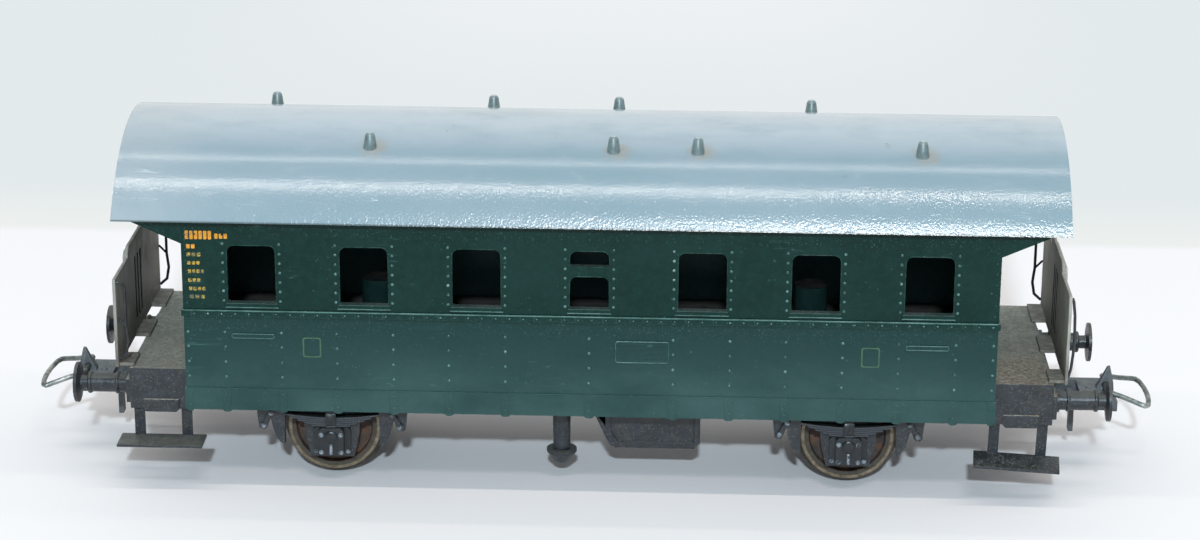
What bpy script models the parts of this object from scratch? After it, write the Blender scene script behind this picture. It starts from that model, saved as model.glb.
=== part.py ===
"""Small-scale two-axle passenger coach with open end platforms.

Metres, +Z up. X runs along the coach, Y across it. The origin is on the surface that the wheels stand on,
under the middle of the coach. Sizes below are in millimetres and MM turns them into metres. The overall sizes
come first in each direction, and each later size follows from them by a named clearance or share.
"""

import math

import bmesh
import bpy
from mathutils import Vector

MM = 0.001

# Clearances
SEAT = 0.05  # between two fixed pieces that touch
RUNNING = 0.08  # round a turning shaft, on the radius

# Wheels and axles, which set the height of the floor
TREAD_RADIUS = 5.5
FLANGE_HEIGHT = 0.7
WHEEL_WIDTH = 2.9
FLANGE_WIDTH = 0.85
RIM_WIDTH = 1.05
WHEEL_DISC_RECESS = 0.55
HUB_RADIUS = 1.5
AXLE_RADIUS = 0.75
JOURNAL_RADIUS = 0.5
WHEEL_STEPS = 40
FLANGE_RADIUS = TREAD_RADIUS + FLANGE_HEIGHT
# a flat between two corners of the flange lies on the floor
AXLE_HEIGHT = FLANGE_RADIUS * math.cos(math.pi / WHEEL_STEPS)

# Heights
FLOOR_THICKNESS = 1.0
WHEEL_TO_FLOOR = 0.8
FLOOR_BOTTOM = 2 * FLANGE_RADIUS + WHEEL_TO_FLOOR
FLOOR_TOP = FLOOR_BOTTOM + FLOOR_THICKNESS
SIDE_BEAM_BOTTOM = AXLE_HEIGHT + 3.12
BODY_BOTTOM = SIDE_BEAM_BOTTOM + 0.5
END_BEAM_BOTTOM = SIDE_BEAM_BOTTOM + 0.3
END_PLATE_TOP = FLOOR_BOTTOM - 0.5
WALL_RISE = 18.4
ROOF_RISE = 8.55
ROOF_EAVE = FLOOR_TOP + WALL_RISE
ROOF_CREST = ROOF_EAVE + ROOF_RISE

# Lengths
BODY_HALF_LENGTH = 45.9
PLATFORM_LENGTH = 6.7
END_PLATE_THICKNESS = 0.5
FLOOR_HALF_LENGTH = BODY_HALF_LENGTH + PLATFORM_LENGTH
BEAM_FACE = FLOOR_HALF_LENGTH + END_PLATE_THICKNESS
ROOF_HALF_LENGTH = FLOOR_HALF_LENGTH + 0.8
AXLE_PLACE = BODY_HALF_LENGTH - 16.25

# Widths
BODY_HALF_WIDTH = 14.8
WALL = 0.9
EAVE_OVERHANG = 1.7
FLOOR_TO_WALL = 0.2
SIDE_BEAM_WIDTH = 0.75
ROOF_HALF_WIDTH = BODY_HALF_WIDTH + EAVE_OVERHANG
FLOOR_HALF_WIDTH = BODY_HALF_WIDTH - WALL - FLOOR_TO_WALL
SIDE_BEAM_INNER = FLOOR_HALF_WIDTH - SIDE_BEAM_WIDTH

# Body shell
BELT_RELIEF = 0.22
BELT_HEIGHT = 0.75
SILL_TO_BELT = 0.85
SKIRT_HEIGHT = 2.6
SKIRT_RELIEF = 0.14
SPANDREL_REACH = PLATFORM_LENGTH + 0.3
SPANDREL_SLOPE = 0.44
DOOR_HALF_WIDTH = 3.6
DOOR_ABOVE_WINDOW = 2.3
DOOR_RELIEF = 0.2
DOOR_WINDOW_HALF_WIDTH = 2.2

# Windows
END_PANEL = 7.86
WINDOW_PITCH = (BODY_HALF_LENGTH - END_PANEL) / 3
WINDOW_WIDTH = 5.5
WINDOW_HEIGHT = 6.85
WINDOW_TO_EAVE = 3.1
WINDOW_TOP = ROOF_EAVE - WINDOW_TO_EAVE
WINDOW_SILL = WINDOW_TOP - WINDOW_HEIGHT
MIDDLE_WINDOW_WIDTH = 4.45
TRANSOM_HEIGHT = 1.15
TRANSOM_LOW = WINDOW_SILL + 0.562 * WINDOW_HEIGHT
TRANSOM_HIGH = TRANSOM_LOW + TRANSOM_HEIGHT
WINDOW_TOP_RADIUS = 0.6
WINDOW_SILL_RADIUS = 0.15
LEDGE_HEIGHT = 0.5
LEDGE_OVERLAP = 0.15
LEDGE_RELIEF = 0.2
BELT_HIGH = WINDOW_SILL - SILL_TO_BELT
BELT_LOW = BELT_HIGH - BELT_HEIGHT
SPANDREL_LOW = WINDOW_TOP + 0.1

# Raised bars and panels on the lower sides: middle in window pitches, length, height, height above the body's edge
RAISED_PANELS = (
    (-3.0, 4.8, 0.5, 8.7),
    (3.0, 4.8, 0.5, 8.7),
    (0.473, 6.0, 2.5, 6.6),
)
PANEL_RELIEF = 0.16

# Roof
ROOF_THICKNESS = 0.9
ROOF_STEPS = 40
VENT_BASE_RADIUS = 0.78
VENT_TOP_RADIUS = 0.55
VENT_HEIGHT = 1.75
VENT_ROW = 0.509
# places along the roof as shares of its half length
VENT_NEAR_PLACES = (-0.470, 0.045, 0.223, 0.695)
VENT_FAR_PLACES = (-0.710, -0.230, 0.047, 0.470)

# Platform side panels, which stand a little proud of the side beams
SIDE_PANEL_LENGTH = 4.1
SIDE_PANEL_HEIGHT = 1.5
SIDE_PANEL_DROP = 0.3
SIDE_PANEL_PROUD = 0.25

# Chassis
END_BEAM_THICKNESS = 1.0
CROSS_RIB_WIDTH = 1.2
CROSS_RIB_DEPTH = 2.2
CROSS_RIB_PLACES = (AXLE_PLACE + 10.85, AXLE_PLACE - 13.65)

# Balustrades, gangway plates and handrails
BALUSTRADE_FACE = FLOOR_HALF_LENGTH + 1.15
BALUSTRADE_THICKNESS = 0.35
BALUSTRADE_RISE = 10.6
RAISED_MIDDLE = 1.2
RAISED_HALF_WIDTH = 5.7
RAISED_CORNER = 0.6
BALUSTRADE_TOP = FLOOR_TOP + BALUSTRADE_RISE
SLOT_TO_TOP = 1.2
SLOT_TO_FLOOR = 1.7
SLOT_WIDTH = 0.9
SLOT_PLACES = (-1.6, 0.0, 1.6)
GANGWAY_THICKNESS = 0.3
GANGWAY_BELOW_TOP = 0.7
FOOT_THICKNESS = 0.4
FOOT_REACH = 1.7
# from, to, as shares of the floor's half width
FOOT_SPANS = ((-0.964, -0.70), (-0.234, 0.139), (0.54, 0.964))
HANDRAIL_RADIUS = 0.17
HANDRAIL_BOW = 1.05
HANDRAIL_OUTBOARD_BOW = -0.45
# share of the balustrade's height, share of the bow
INBOARD_RAIL = ((0.96, 0.0), (0.945, 0.6), (0.9, 0.86), (0.7, 0.86), (0.47, 0.86), (0.3, 1.05), (0.16, 0.8), (0.09, 0.0))
OUTBOARD_RAIL = ((0.97, 0.0), (0.93, 0.35), (0.78, 0.8), (0.55, 1.0), (0.35, 0.9), (0.18, 0.55), (0.08, 0.0))
RAIL_LINK = ((0.56, 0.0), (0.47, 0.86))

# Running gear in front of each wheel, places across the coach from the side beam inwards
STIRRUP_THICKNESS = 0.4
STEP_INNER = SIDE_BEAM_INNER - 0.1 - STIRRUP_THICKNESS
GUARD_OUTER = STEP_INNER - 0.25
GUARD_THICKNESS = 0.95
GUARD_INNER = GUARD_OUTER - GUARD_THICKNESS
BOX_OUTER = GUARD_OUTER + 1.4
SPRING_OUTER = GUARD_OUTER + 1.15
BUCKLE_OUTER = GUARD_OUTER + 1.35
JOURNAL_END = GUARD_OUTER + 0.7
WHEEL_FACE = GUARD_INNER - 1.2
WHEEL_BACK = WHEEL_FACE - WHEEL_WIDTH
GUARD_TOP = FLOOR_BOTTOM - SEAT
GUARD_HALF_LENGTH = 8.75
# right half of the guard, from its top outer corner: share of the half length, share of the height over the axle
GUARD_OUTLINE = (
    (1.0, 1.0),
    (1.0, 0.49),
    (0.966, 0.075),
    (0.937, 0.042),
    (0.886, 0.042),
    (0.857, 0.075),
    (0.811, 0.230),
    (0.789, 0.108),
    (0.754, -0.072),
    (0.686, -0.194),
    (0.629, -0.227),
    (0.617, 0.469),
    (0.377, 0.469),
    (0.360, 0.014),
    (0.286, -0.420),
)
# ends of the link between the spring and its hanger bracket, in the same shares
LINK_HIGH = (0.80, 0.344)
LINK_LOW = (0.90, 0.132)
LINK_WIDTH = 0.5
LINK_PROUD = 0.35
BOX_HALF_WIDTH = 1.45
BOX_FLANGE_HALF_WIDTH = 2.15
BOX_FLANGE_THICKNESS = 0.4
BOX_ABOVE = 1.02
BOX_BELOW = 2.4
BOX_EDGE = 0.35
BOSS_RADIUS = 0.75
BOSS_PROUD = 0.35
LEAVES = 5
LEAF_THICKNESS = 0.24
SPRING_TOP = AXLE_HEIGHT + 2.27
SPRING_SAG = 0.45
LONGEST_LEAF = 5.45
SHORTEST_LEAF = 2.2
BUCKLE_WIDTH = 1.05
BUCKLE_TOP = SIDE_BEAM_BOTTOM - 0.1
BUCKLE_BOTTOM = AXLE_HEIGHT + BOX_ABOVE + 0.1

# Steps
STEP_LENGTH = 9.8
STEP_DEPTH = 3.7
STEP_THICKNESS = 0.3
STEP_MIDDLE = FLOOR_HALF_LENGTH - 3.55
STEP_HEIGHT = FLOOR_BOTTOM - 7.45
STIRRUP_SPACING = 5.45
STIRRUP_WIDTH = 1.2
BENT_STEP_SLOPE = 0.061
BENT_STEP_LEAN = 0.12
BENT_STEP_DROP = 0.4
BENT_STEP_SHIFT = 0.2
BENT_STEP_SKEW = 0.08

# Buffers
BUFFER_LENGTH = 6.6
BUFFER_FACE = BEAM_FACE + BUFFER_LENGTH
BUFFER_HALF_SPACING = FLOOR_HALF_WIDTH - 3.7
BUFFER_HEIGHT = FLOOR_TOP - 3.2
BUFFER_HEAD_RADIUS = 2.35
BUFFER_HEAD_THICKNESS = 0.75
BUFFER_DOME = 0.2
BUFFER_BASE_RADIUS = 1.4
BUFFER_BASE_THICKNESS = 0.5
BUFFER_SLEEVE_RADIUS = 1.1
BUFFER_SLEEVE_LENGTH = 4.85
BUFFER_PLUNGER_RADIUS = 0.8

# Couplings
CHANNEL_INNER_END = FLOOR_HALF_LENGTH - 5.1
CHANNEL_OUTER_END = BEAM_FACE + 7.8
CHANNEL_HALF_WIDTH = 3.3
CHANNEL_TOP = FLOOR_BOTTOM - 4.3
CHANNEL_DEPTH = 1.6
CHANNEL_BOTTOM = CHANNEL_TOP - CHANNEL_DEPTH
CHANNEL_WALL = 0.5
DRAWBAR_PAD_LENGTH = 4.0
CHANNEL_SLOT_START = BEAM_FACE + 0.4
CHANNEL_SLOT_LENGTH = 3.6
CHANNEL_SLOT_HALF_WIDTH = 2.5
BAIL_RADIUS = 0.3
BAIL_SLOPE = 0.25
BAIL_PIVOT_X = CHANNEL_OUTER_END - 0.75
# the arms pass just over the channel's outer edge
BAIL_PIVOT_Z = CHANNEL_TOP + SEAT + 1.03 * BAIL_RADIUS + BAIL_SLOPE * (CHANNEL_OUTER_END - BAIL_PIVOT_X)
BAIL_REACH = 5.05
BAIL_ARM = 2.85
BAIL_END_HALF_WIDTH = 4.5
# corner from the cross bar to the arm: along, inwards from the arm
BAIL_CORNER = ((0.0, 0.35), (0.1, 0.1), (0.35, 0.0))
# one half of the loop: share of the reach, share of the way from the arm out to the widest place
BAIL_OUTLINE = ((0.38, 0.3), (0.76, 0.93), (0.84, 1.0), (0.92, 0.65), (0.98, -0.4), (1.0, -1.3))
HOOK_THICKNESS = 1.1
HOOK_TIP_SHARE = 0.35
HOOK_LENGTH = 1.5
HOOK_RISE = 2.75
# share of the length from the channel's end, share of the rise over the channel
HOOK_OUTLINE = ((-1.15, -0.1), (0.2, -0.1), (0.15, 0.3), (-0.15, 1.0), (-0.35, 0.98), (-0.85, 0.36), (-1.15, 0.12))
STOP_PLATE_THICKNESS = 0.4
STOP_PLATE_SIDE = 0.3
STOP_PLATE_CHAMFER = 0.3
TONGUE_X = CHANNEL_OUTER_END - 4.85
TONGUE_WIDTH = 0.65
TONGUE_HALF_DEPTH = 0.7
TONGUE_DROP = 5.3
TONGUE_STRAP_HEIGHT = 0.5

# Below the floor
BATTERY_START = 0.7
BATTERY_TO_RIB = 2.7
BATTERY_LENGTH = CROSS_RIB_PLACES[1] - CROSS_RIB_WIDTH / 2 - BATTERY_TO_RIB - BATTERY_START
BATTERY_OUTER = FLOOR_HALF_WIDTH - 2.7
BATTERY_DEPTH = 7.0
BATTERY_HEIGHT = 8.65
BATTERY_RECESS_DEPTH = 0.25
# share of the length, share of the height from the bottom
BATTERY_OUTLINE = ((0.0, 1.0), (0.0, 0.428), (0.125, 0.046), (0.183, 0.0), (0.942, 0.0), (1.0, 0.081), (1.0, 1.0))
BATTERY_RECESS = ((0.142, 0.84), (0.142, 0.231), (0.208, 0.081), (0.925, 0.081), (0.942, 0.104), (0.942, 0.84))
BATTERY_GUSSET_HOLE = ((0.021, 0.578), (0.021, 0.439), (0.088, 0.312), (0.088, 0.578))
PIPE_X = -3.3
PIPE_Y = -0.715  # share of the floor's half width
PIPE_RADIUS = 1.08
PIPE_LENGTH = 10.75
PIPE_FOOT_RADIUS = 1.75
PIPE_FOOT_HEIGHT = 1.5
PIPE_FOOT_EDGE = 0.35

# Inside
POST_X = 2 * WINDOW_PITCH
POST_RADIUS = 2.0
POST_TOP = BELT_LOW + 0.1
BALLAST_HALF_LENGTH = POST_X - 6.4
BALLAST_HALF_WIDTH = 5.0
BALLAST_THICKNESS = 1.5

ROUND_STEPS = 20
SMALL_STEPS = 16
WIRE_STEPS = 8
CUT_MARGIN = 1.0
EDGE = 0.3  # small bevels and the overlap of joined forms
BENT_CORNER = "right_near"  # where a step and a handrail were bent

# name: red, green, blue, roughness, metallic
FINISHES = {
    "green_plastic": (0.025, 0.105, 0.085, 0.32, 0.0),
    "roof_grey": (0.33, 0.42, 0.50, 0.25, 0.0),
    "chassis_black": (0.035, 0.037, 0.042, 0.5, 0.0),
    "dusty_floor": (0.09, 0.08, 0.068, 0.85, 0.0),
    "wheel_brown": (0.06, 0.035, 0.022, 0.55, 0.3),
    "steel": (0.45, 0.45, 0.44, 0.35, 1.0),
}


def clear_scene():
    for thing in list(bpy.data.objects):
        bpy.data.objects.remove(thing, do_unlink=True)


def material(name):
    found = bpy.data.materials.get(name)
    if found:
        return found
    red, green, blue, roughness, metallic = FINISHES[name]
    made = bpy.data.materials.new(name)
    made.use_nodes = True
    shader = made.node_tree.nodes["Principled BSDF"]
    shader.inputs["Base Color"].default_value = (red, green, blue, 1.0)
    shader.inputs["Roughness"].default_value = roughness
    shader.inputs["Metallic"].default_value = metallic
    return made


def object_from(name, bm, finish=None, smooth_degrees=None):
    bmesh.ops.recalc_face_normals(bm, faces=bm.faces)
    mesh = bpy.data.meshes.new(name)
    bm.to_mesh(mesh)
    bm.free()
    if smooth_degrees:
        mesh.shade_smooth()
        mesh.set_sharp_from_angle(angle=math.radians(smooth_degrees))
    made = bpy.data.objects.new(name, mesh)
    bpy.context.scene.collection.objects.link(made)
    if finish:
        mesh.materials.append(material(finish))
    return made


def box(name, low, high, finish=None):
    """A box between two corners in millimetres."""
    bm = bmesh.new()
    bmesh.ops.create_cube(bm, size=1.0)
    for vert in bm.verts:
        for axis in range(3):
            side = low[axis] if vert.co[axis] < 0 else high[axis]
            vert.co[axis] = side * MM
    return object_from(name, bm, finish)


def prism(name, outline, axis, start, end, finish=None, smooth_degrees=None):
    """An outline in millimetres, in the plane across axis, extruded from start to end along it."""
    across = [i for i in range(3) if i != axis]
    bm = bmesh.new()
    ring = []
    for first, second in outline:
        place = [0.0, 0.0, 0.0]
        place[across[0]] = first * MM
        place[across[1]] = second * MM
        place[axis] = start * MM
        ring.append(bm.verts.new(place))
    face = bm.faces.new(ring)
    made = bmesh.ops.extrude_face_region(bm, geom=[face])
    shift = [0.0, 0.0, 0.0]
    shift[axis] = (end - start) * MM
    moved = [v for v in made["geom"] if isinstance(v, bmesh.types.BMVert)]
    bmesh.ops.translate(bm, verts=moved, vec=shift)
    return object_from(name, bm, finish, smooth_degrees)


def turned(name, profile, axis, centre, finish=None, steps=ROUND_STEPS, smooth_degrees=35):
    """A profile of (place along axis, radius) pairs turned about the axis through centre. A radius of 0 closes an
    end, and a profile with none at either end closes on itself as a ring."""
    across = [i for i in range(3) if i != axis]
    bm = bmesh.new()
    rings = []
    for along, radius in profile:
        if radius == 0:
            place = list(centre)
            place[axis] += along
            rings.append([bm.verts.new([value * MM for value in place])])
            continue
        ring = []
        for step in range(steps):
            angle = 2 * math.pi * (step + 0.5) / steps
            place = list(centre)
            place[axis] += along
            place[across[0]] += radius * math.cos(angle)
            place[across[1]] += radius * math.sin(angle)
            ring.append(bm.verts.new([value * MM for value in place]))
        rings.append(ring)
    closed = profile[0][1] != 0 and profile[-1][1] != 0
    pairs = list(zip(rings, rings[1:]))
    if closed:
        pairs.append((rings[-1], rings[0]))
    for first, second in pairs:
        for step in range(steps):
            after = (step + 1) % steps
            if len(first) == 1:
                bm.faces.new((first[0], second[step], second[after]))
            elif len(second) == 1:
                bm.faces.new((first[step], second[0], first[after]))
            else:
                bm.faces.new((first[step], second[step], second[after], first[after]))
    return object_from(name, bm, finish, smooth_degrees)


def bar_along(name, path, normal, radius, finish=None, steps=WIRE_STEPS, closed=False):
    """A round bar along a flat path of points in millimetres, whose plane has this normal. A closed path makes a
    loop, an open one has flat ends."""
    bm = bmesh.new()
    points = [Vector(point) for point in path]
    flat = Vector(normal).normalized()
    last = len(points) - 1
    rings = []
    for index, point in enumerate(points):
        before = point - points[index - 1]
        after = points[(index + 1) % len(points)] - point
        if not closed and index == 0:
            before = after
        if not closed and index == last:
            after = before
        before.normalize()
        after.normalize()
        side = (before + after).normalized().cross(flat).normalized()
        stretch = 1.0 / max(0.5, side.dot(before.cross(flat).normalized()))
        ring = []
        for step in range(steps):
            angle = 2 * math.pi * step / steps
            place = point + side * (radius * stretch * math.cos(angle)) + flat * (radius * math.sin(angle))
            ring.append(bm.verts.new(place * MM))
        rings.append(ring)
    followers = rings[1:] + rings[:1] if closed else rings[1:]
    for first, second in zip(rings, followers):
        for step in range(steps):
            after = (step + 1) % steps
            bm.faces.new((first[step], second[step], second[after], first[after]))
    if not closed:
        bm.faces.new(rings[0])
        bm.faces.new(rings[-1][::-1])
    return object_from(name, bm, finish, 50)


def spread(first, second):
    """Two numbers, the lower one first."""
    return (first, second) if first < second else (second, first)


def combine(target, operation, helper):
    """Adds a Boolean of one helper object, which is then left out of renders."""
    modifier = target.modifiers.new(operation.lower(), "BOOLEAN")
    modifier.operation = operation
    modifier.solver = "EXACT"
    modifier.object = helper
    helper.hide_render = True
    helper.display_type = "WIRE"


def cut(target, *helpers):
    for helper in helpers:
        combine(target, "DIFFERENCE", helper)


def join(target, *helpers):
    for helper in helpers:
        combine(target, "UNION", helper)


def rounded_rectangle(left, right, low, high, low_radius, top_radius, steps=3):
    """An outline with rounded corners, the same radius at both lower ones and at both upper ones."""
    # corner middle x, corner middle z, radius, first angle
    corners = (
        (left + low_radius, low + low_radius, low_radius, 180),
        (right - low_radius, low + low_radius, low_radius, 270),
        (right - top_radius, high - top_radius, top_radius, 0),
        (left + top_radius, high - top_radius, top_radius, 90),
    )
    outline = []
    for x, z, radius, first in corners:
        for step in range(steps + 1):
            angle = math.radians(first + 90 * step / steps)
            outline.append((x + radius * math.cos(angle), z + radius * math.sin(angle)))
    return outline


def roof_radius():
    rise = ROOF_CREST - ROOF_EAVE
    return (ROOF_HALF_WIDTH**2 + rise**2) / (2 * rise)


def roof_arc(inset, half_width, steps=ROOF_STEPS):
    """Points (y, z) across the roof's arc, from -half_width to half_width, this far in from its outer face."""
    radius = roof_radius()
    centre = ROOF_CREST - radius
    inner = radius - inset
    end = math.asin(half_width / inner)
    angles = [end * (2 * step / steps - 1) for step in range(steps + 1)]
    return [(inner * math.sin(angle), centre + inner * math.cos(angle)) for angle in angles]


def roof_height(y, inset=0.0):
    radius = roof_radius()
    return ROOF_CREST - radius + math.sqrt((radius - inset) ** 2 - y**2)


def make_roof():
    outer = roof_arc(0.0, ROOF_HALF_WIDTH)
    inner = roof_arc(ROOF_THICKNESS, ROOF_HALF_WIDTH - ROOF_THICKNESS)
    outline = outer + inner[::-1]
    roof = prism("roof", outline, 0, -ROOF_HALF_LENGTH, ROOF_HALF_LENGTH, "roof_grey", 30)
    row = VENT_ROW * ROOF_HALF_WIDTH
    for y, places in ((-row, VENT_NEAR_PLACES), (row, VENT_FAR_PLACES)):
        low = roof_height(y) - ROOF_THICKNESS
        base = ROOF_THICKNESS
        for place in places:
            profile = (
                (0.0, 0.0),
                (0.0, VENT_BASE_RADIUS),
                (base, VENT_BASE_RADIUS),
                (base + VENT_HEIGHT * 0.85, VENT_TOP_RADIUS),
                (base + VENT_HEIGHT, VENT_TOP_RADIUS * 0.6),
                (base + VENT_HEIGHT, 0.0),
            )
            centre = (place * ROOF_HALF_LENGTH, y, low)
            vent = turned("vent_form", profile, 2, centre, steps=SMALL_STEPS)
            join(roof, vent)
    return roof


def add_side_relief(shell):
    """Ledges below the windows, and the raised bars and panel low on both sides."""
    face = BODY_HALF_WIDTH
    for side in (-1, 1):
        inner = side * (face - WALL / 2)
        reach = spread(inner, side * (face + LEDGE_RELIEF))
        for place in range(-3, 4):
            half = (WINDOW_WIDTH if place else MIDDLE_WINDOW_WIDTH) / 2 + LEDGE_OVERLAP
            middle = place * WINDOW_PITCH
            low = (middle - half, reach[0], WINDOW_SILL - LEDGE_HEIGHT)
            high = (middle + half, reach[1], WINDOW_SILL)
            join(shell, box("ledge_form", low, high))
        reach = spread(inner, side * (face + PANEL_RELIEF))
        for place, length, height, rise in RAISED_PANELS:
            middle = place * WINDOW_PITCH
            low = (middle - length / 2, reach[0], BODY_BOTTOM + rise)
            high = (middle + length / 2, reach[1], BODY_BOTTOM + rise + height)
            join(shell, box("raised_form", low, high))


def make_body_shell():
    top = roof_arc(ROOF_THICKNESS + SEAT, BODY_HALF_WIDTH)
    outer = [(BODY_HALF_WIDTH, BODY_BOTTOM), (-BODY_HALF_WIDTH, BODY_BOTTOM)]
    shell = prism("body_shell", outer + top, 0, -BODY_HALF_LENGTH, BODY_HALF_LENGTH, "green_plastic", 30)
    bands = ((BELT_LOW, BELT_HIGH, BELT_RELIEF), (BODY_BOTTOM, BODY_BOTTOM + SKIRT_HEIGHT, SKIRT_RELIEF))
    for low, high, relief in bands:
        half_length = BODY_HALF_LENGTH + relief
        half_width = BODY_HALF_WIDTH + relief
        join(shell, box("band_form", (-half_length, -half_width, low), (half_length, half_width, high)))
    for end in (-1, 1):
        face = end * BODY_HALF_LENGTH
        reach = spread(face - end * WALL / 2, face + end * DOOR_RELIEF)
        low = (reach[0], -DOOR_HALF_WIDTH, FLOOR_TOP + EDGE)
        high = (reach[1], DOOR_HALF_WIDTH, WINDOW_TOP + DOOR_ABOVE_WINDOW)
        join(shell, box("door_form", low, high))
    spandrel_top = roof_height(BODY_HALF_WIDTH, ROOF_THICKNESS + SEAT)
    for end in (-1, 1):
        face = end * BODY_HALF_LENGTH
        outline = (
            (face - end * WALL, SPANDREL_LOW),
            (face, SPANDREL_LOW),
            (face + end * SPANDREL_REACH, SPANDREL_LOW + SPANDREL_SLOPE * SPANDREL_REACH),
            (face + end * SPANDREL_REACH, spandrel_top),
            (face - end * WALL, spandrel_top),
        )
        for side in (-1, 1):
            span = (side * (BODY_HALF_WIDTH - WALL), side * BODY_HALF_WIDTH)
            join(shell, prism("spandrel_form", outline, 1, *span))
    inner_length = BODY_HALF_LENGTH - WALL
    inner_width = BODY_HALF_WIDTH - WALL
    add_side_relief(shell)
    low = (-inner_length, -inner_width, BODY_BOTTOM - CUT_MARGIN)
    high = (inner_length, inner_width, ROOF_CREST + CUT_MARGIN)
    cut(shell, box("cabin_form", low, high))
    reach = BODY_HALF_LENGTH + CUT_MARGIN
    low = (-reach, -inner_width, BODY_BOTTOM - CUT_MARGIN)
    cut(shell, box("floor_form", low, (reach, inner_width, FLOOR_TOP + SEAT)))
    across = BODY_HALF_WIDTH + CUT_MARGIN
    for place in range(-3, 4):
        middle = place * WINDOW_PITCH
        if place == 0:
            half = MIDDLE_WINDOW_WIDTH / 2
            panes = ((WINDOW_SILL, TRANSOM_LOW), (TRANSOM_HIGH, WINDOW_TOP))
        else:
            half = WINDOW_WIDTH / 2
            panes = ((WINDOW_SILL, WINDOW_TOP),)
        for low, high in panes:
            outline = rounded_rectangle(
                middle - half, middle + half, low, high, WINDOW_SILL_RADIUS, WINDOW_TOP_RADIUS
            )
            cut(shell, prism("window_form", outline, 1, -across, across))
    outline = rounded_rectangle(
        -DOOR_WINDOW_HALF_WIDTH,
        DOOR_WINDOW_HALF_WIDTH,
        WINDOW_SILL,
        WINDOW_TOP,
        WINDOW_SILL_RADIUS,
        WINDOW_TOP_RADIUS,
    )
    along = BODY_HALF_LENGTH + CUT_MARGIN
    cut(shell, prism("door_window_form", outline, 0, -along, along))
    return shell


def make_chassis():
    low = (-FLOOR_HALF_LENGTH, -FLOOR_HALF_WIDTH, FLOOR_BOTTOM)
    high = (FLOOR_HALF_LENGTH, FLOOR_HALF_WIDTH, FLOOR_TOP)
    chassis = box("chassis", low, high, "chassis_black")
    overlap = FLOOR_BOTTOM + FLOOR_THICKNESS / 2
    for side in (-1, 1):
        span = spread(side * SIDE_BEAM_INNER, side * FLOOR_HALF_WIDTH)
        low = (-FLOOR_HALF_LENGTH, span[0], SIDE_BEAM_BOTTOM)
        high = (FLOOR_HALF_LENGTH, span[1], overlap)
        join(chassis, box("side_beam_form", low, high))
    for end in (-1, 1):
        span = spread(end * (FLOOR_HALF_LENGTH - END_BEAM_THICKNESS), end * FLOOR_HALF_LENGTH)
        beam = STEP_INNER - EDGE
        join(chassis, box("end_beam_form", (span[0], -beam, END_BEAM_BOTTOM), (span[1], beam, overlap)))
        span = spread(end * (FLOOR_HALF_LENGTH - END_PLATE_THICKNESS / 5), end * BEAM_FACE)
        half = FLOOR_HALF_WIDTH - SIDE_BEAM_WIDTH / 3
        low = (span[0], -half, END_BEAM_BOTTOM + EDGE)
        high = (span[1], half, END_PLATE_TOP)
        join(chassis, box("end_plate_form", low, high))
        span = spread(end * CHANNEL_INNER_END, end * (CHANNEL_INNER_END + DRAWBAR_PAD_LENGTH))
        low = (span[0], -CHANNEL_HALF_WIDTH, CHANNEL_TOP + SEAT)
        high = (span[1], CHANNEL_HALF_WIDTH, overlap)
        join(chassis, box("drawbar_pad_form", low, high))
        for side in (-1, 1):
            add_side_panel(chassis, end, side)
        for place in CROSS_RIB_PLACES:
            x = end * place
            low = (x - CROSS_RIB_WIDTH / 2, -SIDE_BEAM_INNER - EDGE, FLOOR_BOTTOM - CROSS_RIB_DEPTH)
            high = (x + CROSS_RIB_WIDTH / 2, SIDE_BEAM_INNER + EDGE, overlap)
            join(chassis, box("cross_rib_form", low, high))
    return chassis


def add_side_panel(chassis, end, side):
    """The bevelled panel low on a platform's side, above the steps."""
    half = SIDE_PANEL_LENGTH / 2
    middle = end * STEP_MIDDLE
    low = SIDE_BEAM_BOTTOM - SIDE_PANEL_DROP
    high = low + SIDE_PANEL_HEIGHT
    outline = (
        (middle - half + EDGE, low),
        (middle + half - EDGE, low),
        (middle + half, low + EDGE),
        (middle + half, high),
        (middle - half, high),
        (middle - half, low + EDGE),
    )
    inner = side * (SIDE_BEAM_INNER + SIDE_BEAM_WIDTH / 3)
    panel = prism("side_panel_form", outline, 1, inner, side * (FLOOR_HALF_WIDTH + SIDE_PANEL_PROUD))
    join(chassis, panel)


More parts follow.
